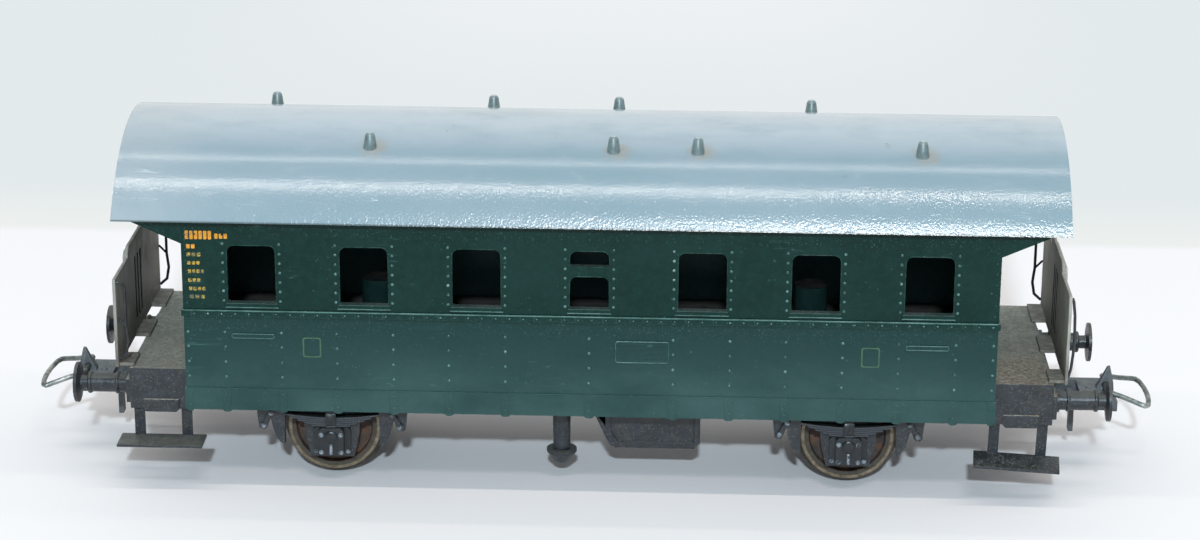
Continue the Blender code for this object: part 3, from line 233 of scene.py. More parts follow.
def make_green(name="green_plastic_worn", shell=True, paler=0.0):
    """Dark green moulded plastic with a worn gloss. Painted light and shade: darker above the belt as painted
    shade from the eave, paler and greyer towards the skirt as painted light from the table, and on the shell
    paler inside as painted light in the cabin, pale ledge and sill tops as dust and painted highlight, and a
    painted shadow line under the eave.
    """
    g = Finish(name, (0.0035, 0.034, 0.027), 0.3, specular=0.16)
    clouds = g.patches(0.3, 0.72, 0.07, 4.0, 0.6)
    base = g.mix(clouds, (0.0005, 0.0180, 0.0132), (0.0036, 0.0262, 0.0210))
    # Paler below the belt: painted light, keeping the wall above darker as painted shade from the eave.
    painted_light_below_belt = g.between(g.z, 22.0, 20.2)
    base = g.mix(painted_light_below_belt, base, (0.0108, 0.0368, 0.0338))
    # Paler and greyer towards the skirt: painted light bounced up from the table.
    painted_table_light = g.patches(0.05, 0.8, 0.12, 4.0, 0.6, (0.7, 1, 1.3), (4, 0, 2))
    painted_table_light = g.times(g.between(g.z, 20.5, 11.0), painted_table_light)
    base = g.cover(base, (0.046, 0.093, 0.089), painted_table_light, 0.9)
    fine = g.patches(0.3, 0.75, 1.0, 5.0, 0.65)
    base = g.cover(base, (0.010, 0.056, 0.049), fine, 0.22)
    specks = g.most(g.specks(1.5, 0.13, 0.52), g.specks(0.8, 0.11, 0.45, (3, 5, 1)))
    dusty_rows = g.most(g.between(g.size_of(g.plus(g.z, -20.4)), 2.2, 0.3), g.between(g.z, 29.6, 31.2))
    base = g.cover(base, (0.13, 0.25, 0.225), specks, g.plus(0.32, g.times(dusty_rows, 0.1)))
    crumbs = g.most(g.specks(3.0, 0.24, 0.66, (1, 4, 9)), g.specks(1.9, 0.16, 0.55, (7, 1, 2)))
    base = g.cover(base, (0.11, 0.21, 0.19), crumbs, g.times(dusty_rows, 0.3))
    lines = g.most(
        g.scratches(1.9, (0.0, 0.6, 0.0), 0.012, 0.40),
        g.scratches(1.6, (0.0, -0.95, 0.0), 0.010, 0.36, shift=(11, 0, 3)),
    )
    base = g.cover(base, (0.08, 0.19, 0.17), lines, 0.35)
    if shell:
        # Paler faces that look up: dust and painted highlight from above.
        edge = g.times(g.up(), g.patches(0.1, 0.5, 0.9, 4.0, 0.7, (0.5, 1, 1)))
        base = g.cover(base, (0.17, 0.27, 0.245), edge, 0.85)
        # Sill tops: grey dust, paler at the outer edge with painted highlight.
        sill = g.times(g.up(), g.between(g.size_of(g.y), WALL_Y + 0.05, WALL_Y))
        outwards = g.between(g.size_of(g.y), WALL_Y - 0.25, WALL_Y)
        dust = g.mix(outwards, (0.035, 0.042, 0.036), (0.14, 0.17, 0.15))
        base = g.cover(base, dust, sill, 0.85)
        # Paler inside the cabin: painted light, standing in for the light that reaches it.
        painted_light_inside = g.times(g.between(g.size_of(g.y), 13.98, 13.9), g.between(g.size_of(g.x), 45.08, 45.0))
        base = g.mix(painted_light_inside, base, (0.08, 0.15, 0.15))
        # Dark line along the wall's top under the roof edge: painted shade.
        eave = g.times(g.between(g.z, 32.0, 32.5), g.between(g.size_of(g.y), 14.0, 14.5))
        base = g.cover(base, (0.0015, 0.010, 0.008), eave, 0.7)
    # A paler copy of this green is painted highlight on small raised parts and edges, with some dust.
    if paler:
        base = g.cover(base, (0.06, 0.15, 0.12), fine, paler)
    relief = g.plus(g.times(g.noise(2.2, 5.0, 0.6), 0.6), g.times(lines, -0.5))
    return g.finish(base, (g.most(g.times(fine, 0.5), specks), 0.22, 0.45), (relief, 0.015, 0.5))


def make_post():
    """The screw posts inside, dark green and dull, with their tops painted near black as painted shade."""
    g = Finish("post_plastic_dark", (0.004, 0.012, 0.011), 0.6, specular=0.03)
    fine = g.patches(0.3, 0.75, 0.8, 5.0, 0.65)
    base = g.mix(fine, (0.006, 0.020, 0.019), (0.012, 0.030, 0.028))
    # Tops painted near black: painted shade inside the cabin.
    base = g.mix(g.up(), base, g.mix(fine, (0.001, 0.003, 0.003), (0.002, 0.005, 0.005)))
    return g.finish(base, (fine, 0.55, 0.8), (g.noise(2.2, 5.0, 0.6), 0.02, 0.5))


def make_roof():
    """Grey-blue moulded plastic, glossy and pebbled, stained round the vents, chipped and scratched. Paler
    near the crest as painted reflection, vents with painted shade on their sides and painted light on their
    tops, and painted shade on undersides, inner faces and the lower rim.
    """
    g = Finish("roof_plastic_worn", (0.33, 0.43, 0.5), 0.26, specular=0.95)
    clouds = g.patches(0.3, 0.7, 0.07, 4.0, 0.6, (0.6, 1.0, 1.0))
    base = g.mix(clouds, (0.222, 0.308, 0.352), (0.256, 0.332, 0.378))
    worn = g.patches(0.56, 0.8, 0.35, 5.0, 0.7, (0.7, 1, 1), (9, 2, 0))
    base = g.cover(base, (0.36, 0.42, 0.45), worn, 0.4)
    # Paler near the crest: painted reflection of the bright room.
    top = g.times(g.between(g.z, 38.6, 40.6), g.patches(0.1, 0.6, 0.2, 4.0, 0.65, (0.5, 1, 1)))
    base = g.cover(base, (0.46, 0.51, 0.55), top, 0.7)
    bleached = g.patches(0.1, 0.6, 0.15, 4.0, 0.65, shift=(3, 0, 7))
    bleached = g.times(g.between(g.x, -40.0, -53.0), bleached)
    base = g.cover(base, (0.42, 0.45, 0.465), bleached, 0.5)
    stain = None
    for x, y in NEAR_VENTS + FAR_VENTS:
        near = g.length(g.plus(g.x, -(x + 0.4)), g.plus(g.y, -(y + 0.1)))
        ragged = g.plus(near, g.times(g.noise(1.1, 4.0, 0.75, shift=(x, y, 0)), 3.0))
        spot = g.between(ragged, 3.6, 1.9)
        stain = spot if stain is None else g.most(stain, spot)
    base = g.cover(base, (0.36, 0.26, 0.14), stain, 0.42)
    radial = g.length(g.y, g.plus(g.z, -ROOF_CENTRE_Z))
    vent = g.between(radial, ROOF_RADIUS + 0.12, ROOF_RADIUS + 0.22)
    # Vents: dark sides as painted shade, pale tops as painted light.
    vent_shade_and_light = g.mix(g.patches(0.3, 0.7, 1.6, 4.0, 0.7), (0.03, 0.07, 0.07), (0.105, 0.175, 0.18))
    vent_shade_and_light = g.mix(g.up(), vent_shade_and_light, (0.36, 0.43, 0.45))
    base = g.cover(base, vent_shade_and_light, vent, 0.85)
    grime = g.patches(0.62, 0.74, 0.5, 5.0, 0.75, shift=(1, 8, 3))
    base = g.cover(base, (0.19, 0.22, 0.2), grime, 0.3)
    lines = g.most(
        g.scratches(1.3, (0.0, 0.0, 0.5), 0.009, 0.42, (0.06, 1.0, 0.3)),
        g.scratches(1.1, (0.0, 0.0, -0.35), 0.008, 0.38, (0.06, 1.0, 0.3), (5, 9, 0)),
    )
    base = g.cover(base, (0.5, 0.56, 0.6), lines, 0.5)
    chips = g.times(g.specks(0.9, 0.1, 0.5, (2, 0, 6)), g.between(g.z, 37.5, 34.0))
    base = g.cover(base, (0.7, 0.76, 0.8), chips, 0.7)
    dots = g.specks(0.7, 0.09, 0.42, (6, 3, 1))
    base = g.cover(base, (0.08, 0.09, 0.085), dots, 0.7)
    # Undersides, faces inside the roof's curve and the bottom rim darkened: painted shade.
    base = g.cover(base, (0.05, 0.06, 0.065), g.down(), 0.6)
    below = g.between(radial, ROOF_RADIUS - 0.3, ROOF_RADIUS - 0.6)
    base = g.cover(base, (0.04, 0.05, 0.055), below, 0.75)
    rim = g.between(g.z, 32.82, 32.66)
    base = g.cover(base, (0.03, 0.05, 0.05), rim, 0.75)
    dull = g.most(g.times(worn, 0.35), g.most(g.times(stain, 0.4), vent))
    pebble = g.times(g.noise(3.6, 1.0, 0.5), g.plus(g.times(g.between(g.z, 39.5, 34.0), 1.1), 0.25))
    relief = g.plus(pebble, g.times(g.plus(lines, chips), -0.4))
    return g.finish(base, (dull, 0.145, 0.42), (relief, 0.019, 1.0))


def black_color(g, shift=(0, 0, 0)):
    """Near-black dusty plastic, shared by the pieces of the underframe."""
    fine = g.patches(0.3, 0.75, 0.9, shift=shift)
    base = g.mix(fine, (0.009, 0.0115, 0.0145), (0.026, 0.032, 0.040))
    smudges = g.patches(0.5, 0.72, 0.55, 5.0, 0.75, shift=(shift[0], 6.0, 2.0))
    base = g.cover(base, (0.062, 0.050, 0.040), smudges, 0.55)
    specks = g.most(g.specks(2.9, 0.3, 0.7, shift), g.specks(1.6, 0.2, 0.54, (shift[0] + 4.0, 2.0, 7.0)))
    base = g.cover(base, (0.17, 0.165, 0.15), specks, 0.42)
    dust = g.times(g.up(), g.patches(0.12, 0.62, 0.7, 5.0, 0.65, shift=(2.0, shift[0], 0.0)))
    base = g.cover(base, (0.12, 0.12, 0.105), dust, 0.7)
    return base, fine, specks, dust


def grain(g, specks):
    """Fine relief of the dusty black pieces, with their specks standing out."""
    return g.plus(g.noise(2.4, 5.0, 0.65), g.times(specks, 0.5)), 0.03, 0.6


def make_black(name="underframe_plastic_dusty", dark=0.0):
    """Dusty black plastic, and with dark above 0 a cleaner and glossier one."""
    g = Finish(name, (0.03, 0.034, 0.04), 0.5)
    base, fine, specks, dust = black_color(g)
    if dark:
        base = g.mix(dark, base, (0.004, 0.006, 0.008))
    return g.finish(base, (g.most(g.times(fine, 0.4), g.most(specks, dust)), 0.27, 0.8), grain(g, specks))


def make_spring():
    """The leaf springs: clean black, with the edges of the leaves rubbed grey."""
    g = Finish("spring_plastic_glossy", (0.02, 0.023, 0.027), 0.4)
    base, fine, specks = black_color(g, (2, 5, 1))[:3]
    base = g.mix(0.8, base, (0.003, 0.005, 0.007))
    beside = g.plus(g.size_of(g.x), -AXLE_X)
    sag = g.times(g.times(beside, beside), SPRING_SAG / SPRING_HALF**2)
    drop = g.plus(g.plus(AXLE_Z + SPRING_ABOVE_AXLE, sag), g.times(g.z, -1.0))
    leaf = g.math("PINGPONG", drop, LEAF_HEIGHT / 2)
    rubbed = g.between(leaf, LEAF_HEIGHT * 0.22, LEAF_HEIGHT * 0.42)
    base = g.cover(base, (0.052, 0.064, 0.078), rubbed, 0.75)
    relief = g.between(leaf, 0.02, 0.06)
    return g.finish(base, (g.most(g.times(fine, 0.4), specks), 0.27, 0.7), (relief, 0.04, 0.6))


def make_step_black():
    """The footboards: black with scuffed grey specks, dustier at the left end."""
    g = Finish("step_plastic_scuffed", (0.03, 0.034, 0.04), 0.5)
    base, fine = black_color(g, (5, 4, 8))[:2]
    tread = g.mix(fine, (0.014, 0.017, 0.018), (0.05, 0.056, 0.055))
    crumbs = g.most(g.specks(2.0, 0.24, 0.72, (2, 0, 3)), g.specks(3.1, 0.32, 0.75, (5, 8, 0)))
    tread = g.cover(tread, (0.19, 0.19, 0.17), crumbs, 0.75)
    film = g.patches(0.2, 0.7, 0.9, shift=(0, 2, 6))
    film = g.times(g.between(g.x, 0.0, -40.0), film)
    tread = g.cover(tread, (0.14, 0.145, 0.125), film, 0.7)
    return g.finish(
        g.mix(g.up(), base, tread),
        (g.most(g.times(fine, 0.5), crumbs), 0.35, 0.8),
        (g.plus(g.noise(2.4, 5.0, 0.65), g.times(crumbs, 0.6)), 0.035, 0.7),
    )


def make_grey_patched_black():
    """Moulded bolt heads and ribs of the underframe: glossy black with pale grey patches."""
    g = Finish("underframe_plastic_grey_patched", (0.05, 0.055, 0.06), 0.25)
    fine = g.patches(0.35, 0.65, 1.1, shift=(2, 9, 1))
    base = g.mix(fine, (0.020, 0.024, 0.029), (0.27, 0.30, 0.33))
    return g.finish(base, (fine, 0.14, 0.35), (g.noise(2.4, 4.0, 0.6), 0.02, 0.5))


def make_chassis():
    """The chassis: dusty black, with brown-grey dirt on the platform floors and darkness under the cabin."""
    g = Finish("chassis_plastic_dusty", (0.03, 0.034, 0.04), 0.5)
    base, _, specks, dust = black_color(g, (3, 1, 0))
    platform = g.times(g.up(), g.between(g.size_of(g.x), 45.6, 46.2))
    dirt = g.patches(0.3, 0.7, 2.4, 4.0, 0.8, (1.0, 0.8, 1.0), (0, 5, 1))
    ground = g.mix(dirt, (0.19, 0.19, 0.16), (0.41, 0.40, 0.33))
    clouds = g.patches(0.35, 0.65, 0.25, 3.0, 0.6, shift=(2, 3, 0))
    ground = g.cover(ground, (0.15, 0.15, 0.145), clouds, 0.35)
    right = g.between(g.x, -30.0, 30.0)
    front = g.plus(g.between(g.y, 3.0, -11.0), g.times(right, 0.15))
    rust = g.times(front, g.patches(0.40, 0.62, 1.9, 4.0, 0.8, shift=(4, 0, 2)))
    ground = g.cover(ground, (0.16, 0.085, 0.04), rust, g.plus(0.25, g.times(right, 0.5)))
    spots = g.specks(1.6, 0.22, 0.6, (8, 1, 2))
    ground = g.cover(ground, (0.06, 0.052, 0.045), spots, 0.6)
    base = g.mix(platform, base, ground)
    cabin = g.times(g.up(), g.between(g.size_of(g.x), 45.6, 45.0))
    base = g.cover(base, (0.022, 0.016, 0.012), cabin, 0.75)
    return g.finish(
        base,
        (g.most(platform, g.most(specks, dust)), 0.38, 0.9),
        (g.plus(g.noise(2.2), g.times(platform, g.noise(3.1, 4.0, 0.7))), 0.05, 0.7),
    )


def make_railing():
    """Balustrades and gangway plates: grey-brown with dust, worn to pale metal colour along the top, with
    painted shade in their slots.
    """
    g = Finish("railing_plastic_dusty", (0.06, 0.06, 0.055), 0.55)
    base, fine, specks = black_color(g, (6, 2, 4))[:3]
    film = g.patches(0.2, 0.75, 0.4, 5.0, 0.7, (1, 1, 0.6), (1, 3, 5))
    amount = g.plus(0.34, g.times(g.between(g.x, -10.0, 10.0), 0.22))
    base = g.mix(g.plus(g.times(film, 0.5), amount), base, (0.37, 0.35, 0.30))
    rust = g.patches(0.55, 0.7, 0.7, 5.0, 0.75, shift=(9, 3, 5))
    base = g.cover(base, (0.11, 0.07, 0.04), rust, 0.4)
    low = g.patches(0.2, 0.6, 0.9, 4.0, 0.7, shift=(0, 7, 3))
    base = g.cover(base, (0.06, 0.042, 0.03), g.times(g.between(g.z, 19.5, 15.0), low), 0.65)
    pale = g.patches(0.35, 0.7, 0.5, 4.0, 0.7, (1, 1, 0.4), (2, 2, 6))
    base = g.cover(base, (0.42, 0.41, 0.37), g.times(g.between(g.z, 19.0, 24.0), pale), 0.6)
    # Slot walls near black: painted shade.
    slot_walls_painted_shade = g.times(g.between(g.size_of(g.normal()[1]), 0.5, 0.8), g.between(g.size_of(g.y), 2.6, 2.5))
    base = g.cover(base, (0.004, 0.004, 0.004), slot_walls_painted_shade, 0.95)
    return g.finish(base, (g.most(g.times(fine, 0.4), film), 0.42, 0.8), grain(g, specks))


def make_wheel():
    """A wheel: bright ring on the rim, brown rusty disc, dark hub, and a worn tread and flange."""
    g = Finish("wheel_rusty", (0.06, 0.035, 0.022), 0.55)
    beside = g.plus(g.size_of(g.x), -AXLE_X)
    rise = g.plus(g.z, -AXLE_Z)
    radius = g.length(beside, rise)
    fine = g.patches(0.3, 0.72, 1.4)
    rust = g.patches(0.38, 0.66, 0.6, shift=(2, 4, 1))
    disc = g.mix(fine, (0.018, 0.014, 0.013), (0.055, 0.04, 0.032))
    disc = g.cover(disc, (0.12, 0.052, 0.024), rust, 0.75)
    rim = g.mix(fine, (0.03, 0.024, 0.018), (0.075, 0.06, 0.043))
    base = g.mix(g.between(radius, 4.35, 4.6), disc, rim)
    ring = g.times(g.between(radius, 4.9, 5.02), g.between(radius, 5.38, 5.26))
    bright = g.mix(fine, (0.12, 0.09, 0.058), (0.34, 0.27, 0.185))
    base = g.cover(base, bright, ring, 0.9)
    flange = g.between(radius, 5.62, 5.8)
    base = g.mix(flange, base, g.mix(fine, (0.05, 0.045, 0.037), (0.14, 0.125, 0.10)))
    hub = g.between(radius, 1.7, 1.45)
    base = g.cover(base, (0.03, 0.03, 0.03), hub, 0.6)
    g.fill(g.shader, {"Metallic": g.times(g.most(ring, flange), 0.7)})
    return g.finish(
        base,
        (g.plus(g.times(g.other(ring), 0.6), g.times(fine, 0.3)), 0.34, 0.8),
        (g.noise(2.6, 5.0, 0.65), 0.03, 0.6),
    )


def make_axle():
    """Dull steel of the axles and the floor screws."""
    g = Finish("axle_steel_dull", (0.3, 0.29, 0.27), 0.4, 1.0)
    fine = g.patches(0.3, 0.7, 1.2, 4.0, 0.65, (1, 0.3, 1))
    base = g.mix(fine, (0.16, 0.15, 0.135), (0.36, 0.34, 0.31))
    return g.finish(base, (fine, 0.3, 0.55), (g.noise(3.0, 3.0, 0.5, (1, 0.2, 1)), 0.01, 0.5))


def make_wire():
    """Dull grey-green wire with brighter worn places at its ends."""
    g = Finish("bail_wire_dull", (0.3, 0.31, 0.29), 0.42, 0.85)
    fine = g.patches(0.34, 0.7, 0.9)
    base = g.mix(fine, (0.10, 0.115, 0.108), (0.30, 0.325, 0.305))
    worn = g.patches(0.52, 0.66, 0.5, 3.0, 0.6, shift=(5, 1, 0))
    base = g.cover(base, (0.5, 0.5, 0.46), worn, 0.6)
    return g.finish(base, (fine, 0.5, 0.3), (g.noise(2.6, 4.0, 0.6), 0.015, 0.5))


def make_coupler():
    """The coupling channel and hook: dusty grey plastic, paler where it rubs."""
    g = Finish("coupler_plastic_worn", (0.06, 0.066, 0.07), 0.5)
    base, fine, specks, dust = black_color(g, (1, 7, 2))
    rub = g.times(g.up(), g.patches(0.3, 0.6, 0.6, 4.0, 0.7, shift=(3, 6, 1)))
    base = g.cover(base, (0.26, 0.28, 0.28), rub, 0.65)
    film = g.patches(0.3, 0.7, 0.5, shift=(7, 0, 1))
    base = g.mix(g.plus(g.times(film, 0.5), 0.3), base, (0.105, 0.118, 0.128))
    return g.finish(base, (g.most(g.times(fine, 0.5), g.most(specks, dust)), 0.38, 0.8), grain(g, specks))


def make_ballast():
    """The dull steel plate on the cabin floor, rusty in places."""
    g = Finish("ballast_steel_dull", (0.2, 0.2, 0.19), 0.5, 0.7)
    fine = g.patches(0.3, 0.7, 0.8)
    base = g.mix(fine, (0.10, 0.10, 0.098), (0.26, 0.26, 0.25))
    rust = g.patches(0.5, 0.7, 0.5, shift=(5, 1, 0))
    base = g.cover(base, (0.10, 0.05, 0.025), rust, 0.6)
    return g.finish(base, (fine, 0.4, 0.7), (g.noise(2.0, 4.0, 0.6), 0.02, 0.5))


def make_print(name, color, wear):
    """A printed mark, thin and worn so that the plastic shows through in places."""
    g = Finish(name, color, 0.5)
    gaps = g.patches(0.5 + wear, 0.42 + wear, 2.6, 4.0, 0.7)
    darker = tuple(value * 0.45 for value in color)
    base = g.mix(g.noise(1.6, 3.0, 0.6), darker, color)
    base = g.cover(base, (0.02, 0.06, 0.05), g.other(gaps), 0.85)
    return g.finish(base, (g.noise(1.9, 3.0, 0.6), 0.4, 0.65), (g.noise(2.4, 3.0, 0.6), 0.01, 0.4))


def make_edge_highlight_green():
    """Edges of the moulding: a broken paler line of painted highlight with some dust, palest on faces that
    look up.
    """
    g = Finish("green_plastic_edge_highlight", (0.03, 0.10, 0.088), 0.3, specular=0.3)
    fine = g.patches(0.3, 0.65, 0.55, 4.0, 0.7, (0.5, 1, 1))
    base = g.mix(fine, (0.008, 0.050, 0.041), (0.055, 0.145, 0.127))
    # Paler on faces that look up: painted highlight from above, with dust.
    bright = g.times(g.up(), g.patches(0.42, 0.62, 0.35, 3.0, 0.7, (0.5, 1, 1), (3, 3, 8)))
    base = g.mix(g.plus(g.times(bright, 0.6), g.times(g.up(), 0.25)), base, (0.24, 0.38, 0.35))
    return g.finish(base, (fine, 0.25, 0.45), (g.noise(3.0, 3.0, 0.6), 0.01, 0.5))


def make_highlit_rivet_green():
    """Moulded rivet heads: the body's green, painted paler with pale patches as painted highlights."""
    g = Finish("green_plastic_highlit_rivets", (0.05, 0.12, 0.105), 0.3)
    fine = g.patches(0.35, 0.65, 0.7, 4.0, 0.7)
    base = g.mix(fine, (0.012, 0.058, 0.048), (0.085, 0.185, 0.165))
    bright = g.patches(0.56, 0.7, 0.45, 3.0, 0.7, shift=(3, 3, 8))
    base = g.cover(base, (0.28, 0.42, 0.39), bright, 0.7)
    return g.finish(base, (fine, 0.25, 0.45), (g.noise(3.0, 3.0, 0.6), 0.01, 0.5))


# The paler greens below, for rivets, beads and window edges, are painted highlights.
GREEN_TRIM = make_green("trim_plastic_green", False)
HIGHLIT_RIVET_GREEN = make_highlit_rivet_green()
HIGHLIT_GREEN = make_green("green_plastic_highlit", False, 0.3)
EDGE_HIGHLIGHT_GREEN = make_edge_highlight_green()
WINDOW_EDGE_HIGHLIT = make_green("green_plastic_window_edge_highlit", False, 0.5)
BLACK = make_black()
BOX_BLACK = make_black("axlebox_plastic_glossy", 0.7)
BLACK_GREY_PATCHED = make_grey_patched_black()
RAILING = make_railing()
AXLE = make_axle()
COUPLER = make_coupler()
ORANGE = make_print("orange_print_worn", (0.95, 0.38, 0.016), 0.14)
YELLOW = make_print("yellow_print_thin", (0.68, 0.40, 0.03), 0.02)
PLATE_GREEN = make_print("plate_paint_faded", (0.055, 0.14, 0.075), 0.12)

FINISH_OF = (
    ("body_shell", make_green()),
    ("roof", make_roof()),
    ("chassis", make_chassis()),
    ("balustrade", RAILING),
    ("gangway", RAILING),
    ("handrail", make_black("handrail_plastic_dusty", 0.25)),
    ("wheel", make_wheel()),
    ("axle_guard", BLACK),
    ("axlebox", BOX_BLACK),
    ("step", make_step_black()),
    ("leaf_spring", make_spring()),
    ("axle", AXLE),
    ("bail", make_wire()),
    ("coupler", COUPLER),
    ("screw_post", make_post()),
    ("ballast", make_ballast()),
)

ROUND_WIRES = ("bail", "handrail")
WIRE_ANGLE = 55
FORM_ANGLE = 32
WELD_DISTANCE = 0.002
EDGE_WIDTH = 0.06
EDGE_ANGLE = 40
EDGED = ("chassis", "step", "axlebox", "axle_guard", "balustrade", "coupler", "battery_box", "gangway")


def smooth_node(thing, name):
    """Joins the facets of a CAD node for shading only: round forms look round, and edges stay sharp."""
    weld = thing.modifiers.new("weld", "WELD")
    weld.merge_threshold = WELD_DISTANCE * MM
    if name.startswith(EDGED):
        edge = thing.modifiers.new("edge", "BEVEL")
        edge.width = EDGE_WIDTH * MM
        edge.segments = 2
        edge.limit_method = "ANGLE"
        edge.angle_limit = math.radians(EDGE_ANGLE)
    split = thing.modifiers.new("split", "EDGE_SPLIT")
    split.use_edge_sharp = False
    split.split_angle = math.radians(WIRE_ANGLE if name.startswith(ROUND_WIRES) else FORM_ANGLE)
    weighted = thing.modifiers.new("weighted", "WEIGHTED_NORMAL")
    weighted.mode = "FACE_AREA_WITH_ANGLE"
    weighted.keep_sharp = False


def dress_nodes():
    """Gives each CAD node its finish, where the first start of a name that fits counts."""
    for name, thing in NODES.items():
        smooth_node(thing, name)
        finish = next((made for start, made in FINISH_OF if name.startswith(start)), BLACK)
        for slot in thing.material_slots:
            slot.material = finish
        if not thing.material_slots:
            thing.data.materials.append(finish)


# Mesh helpers, in millimetres

SMOOTH_ANGLE = 40.0


def piece(name, bm, finish, body="coach"):
    """Turns a bmesh in millimetres into a piece that rides on a body."""
    bmesh.ops.recalc_face_normals(bm, faces=bm.faces)
    bmesh.ops.scale(bm, verts=bm.verts, vec=(MM, MM, MM))
    mesh = bpy.data.meshes.new(name)
    bm.to_mesh(mesh)
    bm.free()
    mesh.shade_smooth()
    mesh.set_sharp_from_angle(angle=math.radians(SMOOTH_ANGLE))
    mesh.materials.append(finish)
    made = bpy.data.objects.new(name, mesh)
    bpy.context.scene.collection.objects.link(made)
    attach(made, body)


def add_circle(bm, middle, side, other, radius, steps):
    """Points round a middle, in the plane of two directions."""
    ring = []
    for step in range(steps):
        angle = 2 * math.pi * step / steps
        point = middle + side * math.cos(angle) * radius
        ring.append(bm.verts.new(point + other * math.sin(angle) * radius))
    return ring


def add_outline(bm, outline, axis, place):
    """Points along an outline that lies across an axis, at a place on that axis."""
    ring = []
    for point in outline:
        whole = list(point)
        whole.insert(axis, place)
        ring.append(bm.verts.new(whole))
    return ring


def join_rings(bm, rings, closed=False):
    """Faces between each ring of points and the next, where one point is a tip, and then the two ends."""
    pairs = list(zip(rings, rings[1:]))
    if closed:
        pairs.append((rings[-1], rings[0]))
    for first, second in pairs:
        count = max(len(first), len(second))
        for step in range(count):
            after = (step + 1) % count
            if len(first) == 1:
                bm.faces.new((first[0], second[step], second[after]))
            elif len(second) == 1:
                bm.faces.new((first[step], first[after], second[0]))
            else:
                bm.faces.new((first[step], first[after], second[after], second[step]))
    if closed:
        return
    for ring in (rings[0], rings[-1]):
        if len(ring) > 1:
            bm.faces.new(ring)


def add_turned(bm, profile, centre, direction, steps=12):
    """A closed form turned about a direction through centre, from (place along, radius) pairs."""
    along = Vector(direction).normalized()
    side = along.orthogonal().normalized()
    other = along.cross(side)
    rings = []
    for place, radius in profile:
        middle = Vector(centre) + along * place
        if radius:
            rings.append(add_circle(bm, middle, side, other, radius, steps))
        else:
            rings.append([bm.verts.new(middle)])
    join_rings(bm, rings)


def add_dome(bm, centre, direction, radius, height, steps=8):
    """A rivet head that stands on a surface."""
    profile = [(-0.05, radius), (height * 0.45, radius * 0.86), (height * 0.86, radius * 0.5), (height, 0.0)]
    add_turned(bm, profile, centre, direction, steps)


def add_bolt(bm, centre, direction, radius, height):
    """A six-sided bolt head on a thin washer."""
    washer = [(-0.04, radius * 1.3), (height * 0.22, radius * 1.3), (height * 0.25, 0.0)]
    add_turned(bm, washer, centre, direction)
    head = [(0.0, radius), (height * 0.8, radius), (height, radius * 0.72), (height, 0.0)]
    add_turned(bm, head, centre, direction, 6)


def add_slab(bm, outline, axis, start, end, edge=0.0):
    """An outline across an axis, extruded from start to end, with the edges at end drawn in by edge."""
    middle = [sum(point[i] for point in outline) / len(outline) for i in range(2)]
    drawn_in = []
    for point in outline:
        away = [point[i] - middle[i] for i in range(2)]
        steps = [math.copysign(min(abs(value) * 0.6, edge), value) for value in away]
        drawn_in.append((point[0] - steps[0], point[1] - steps[1]))
    rings = [add_outline(bm, outline, axis, start)]
    if edge:
        rings.append(add_outline(bm, outline, axis, end - math.copysign(edge, end - start)))
    rings.append(add_outline(bm, drawn_in, axis, end))
    join_rings(bm, rings)


def add_frame(bm, outer, inner, axis, start, end):
    """A flat ring between two outlines with the same number of points, extruded from start to end."""
    loops = ((outer, start), (outer, end), (inner, end), (inner, start))
    join_rings(bm, [add_outline(bm, outline, axis, place) for outline, place in loops], True)


def add_tube(bm, points, radius, steps=8, closed=False):
    """A round bar along points."""
    path = [Vector(point) for point in points]
    count = len(path)
    rings = []
    side = None
    for index, point in enumerate(path):
        before = path[index - 1] if index or closed else point
        after = path[(index + 1) % count] if index + 1 < count or closed else point
        along = (after - before).normalized()
        if side is None:
            side = along.orthogonal().normalized()
        side = (side - along * side.dot(along)).normalized()
        rings.append(add_circle(bm, point, side, along.cross(side), radius, steps))
    join_rings(bm, rings, closed)


def add_loop(bm, outline, y, radius, steps):
    """A round bar along a closed outline on one side of the coach."""
    add_tube(bm, [(x, y, z) for x, z in outline], radius, steps, True)


def rounded(low, high, radius, steps=4):
    """The outline of a rectangle with round corners."""
    left, right = low[0] + radius, high[0] - radius
    bottom, top = low[1] + radius, high[1] - radius
    outline = []
    for turn, (x, y) in enumerate(((right, top), (left, top), (left, bottom), (right, bottom))):
        for step in range(steps + 1):
            angle = math.pi / 2 * (turn + step / steps)
            outline.append((x + radius * math.cos(angle), y + radius * math.sin(angle)))
    return outline


def side_name(side):
    return "near" if side < 0 else "far"


def end_name(end):
    return "left" if end < 0 else "right"


# Rivets and straps on the sides

RIVET_RADIUS = 0.19
RIVET_HEIGHT = 0.11
SMALL_RIVET = RIVET_RADIUS * 0.9
BELT_RIVET_PITCH = 1.55
COLUMN_FROM_WINDOW = 3.2
MIDDLE_COLUMN = 2.72
COLUMN_START = 22.95
COLUMN_PITCH = 1.12
COLUMN_COUNT = 7
LOWER_RIVETS = (19.15, 17.4, 15.6, 13.8)
STRAP_RIVETS = (11.75, 10.4)
STRAP_RAISE = 0.05
END_COLUMN = 45.45
END_COLUMN_START = 22.6
END_COLUMN_PITCH = 1.25
EAVE_ROW = 30.75


def column_places():
    """Lower columns of rivets along the side: beside each window, one in the middle, and one at each end."""
    places = [0.0, -END_COLUMN, END_COLUMN]
    for k in (-3, -2, -1, 1, 2, 3):
        places.append(k * WINDOW_PITCH - COLUMN_FROM_WINDOW)
        places.append(k * WINDOW_PITCH + COLUMN_FROM_WINDOW)
    return sorted(places)


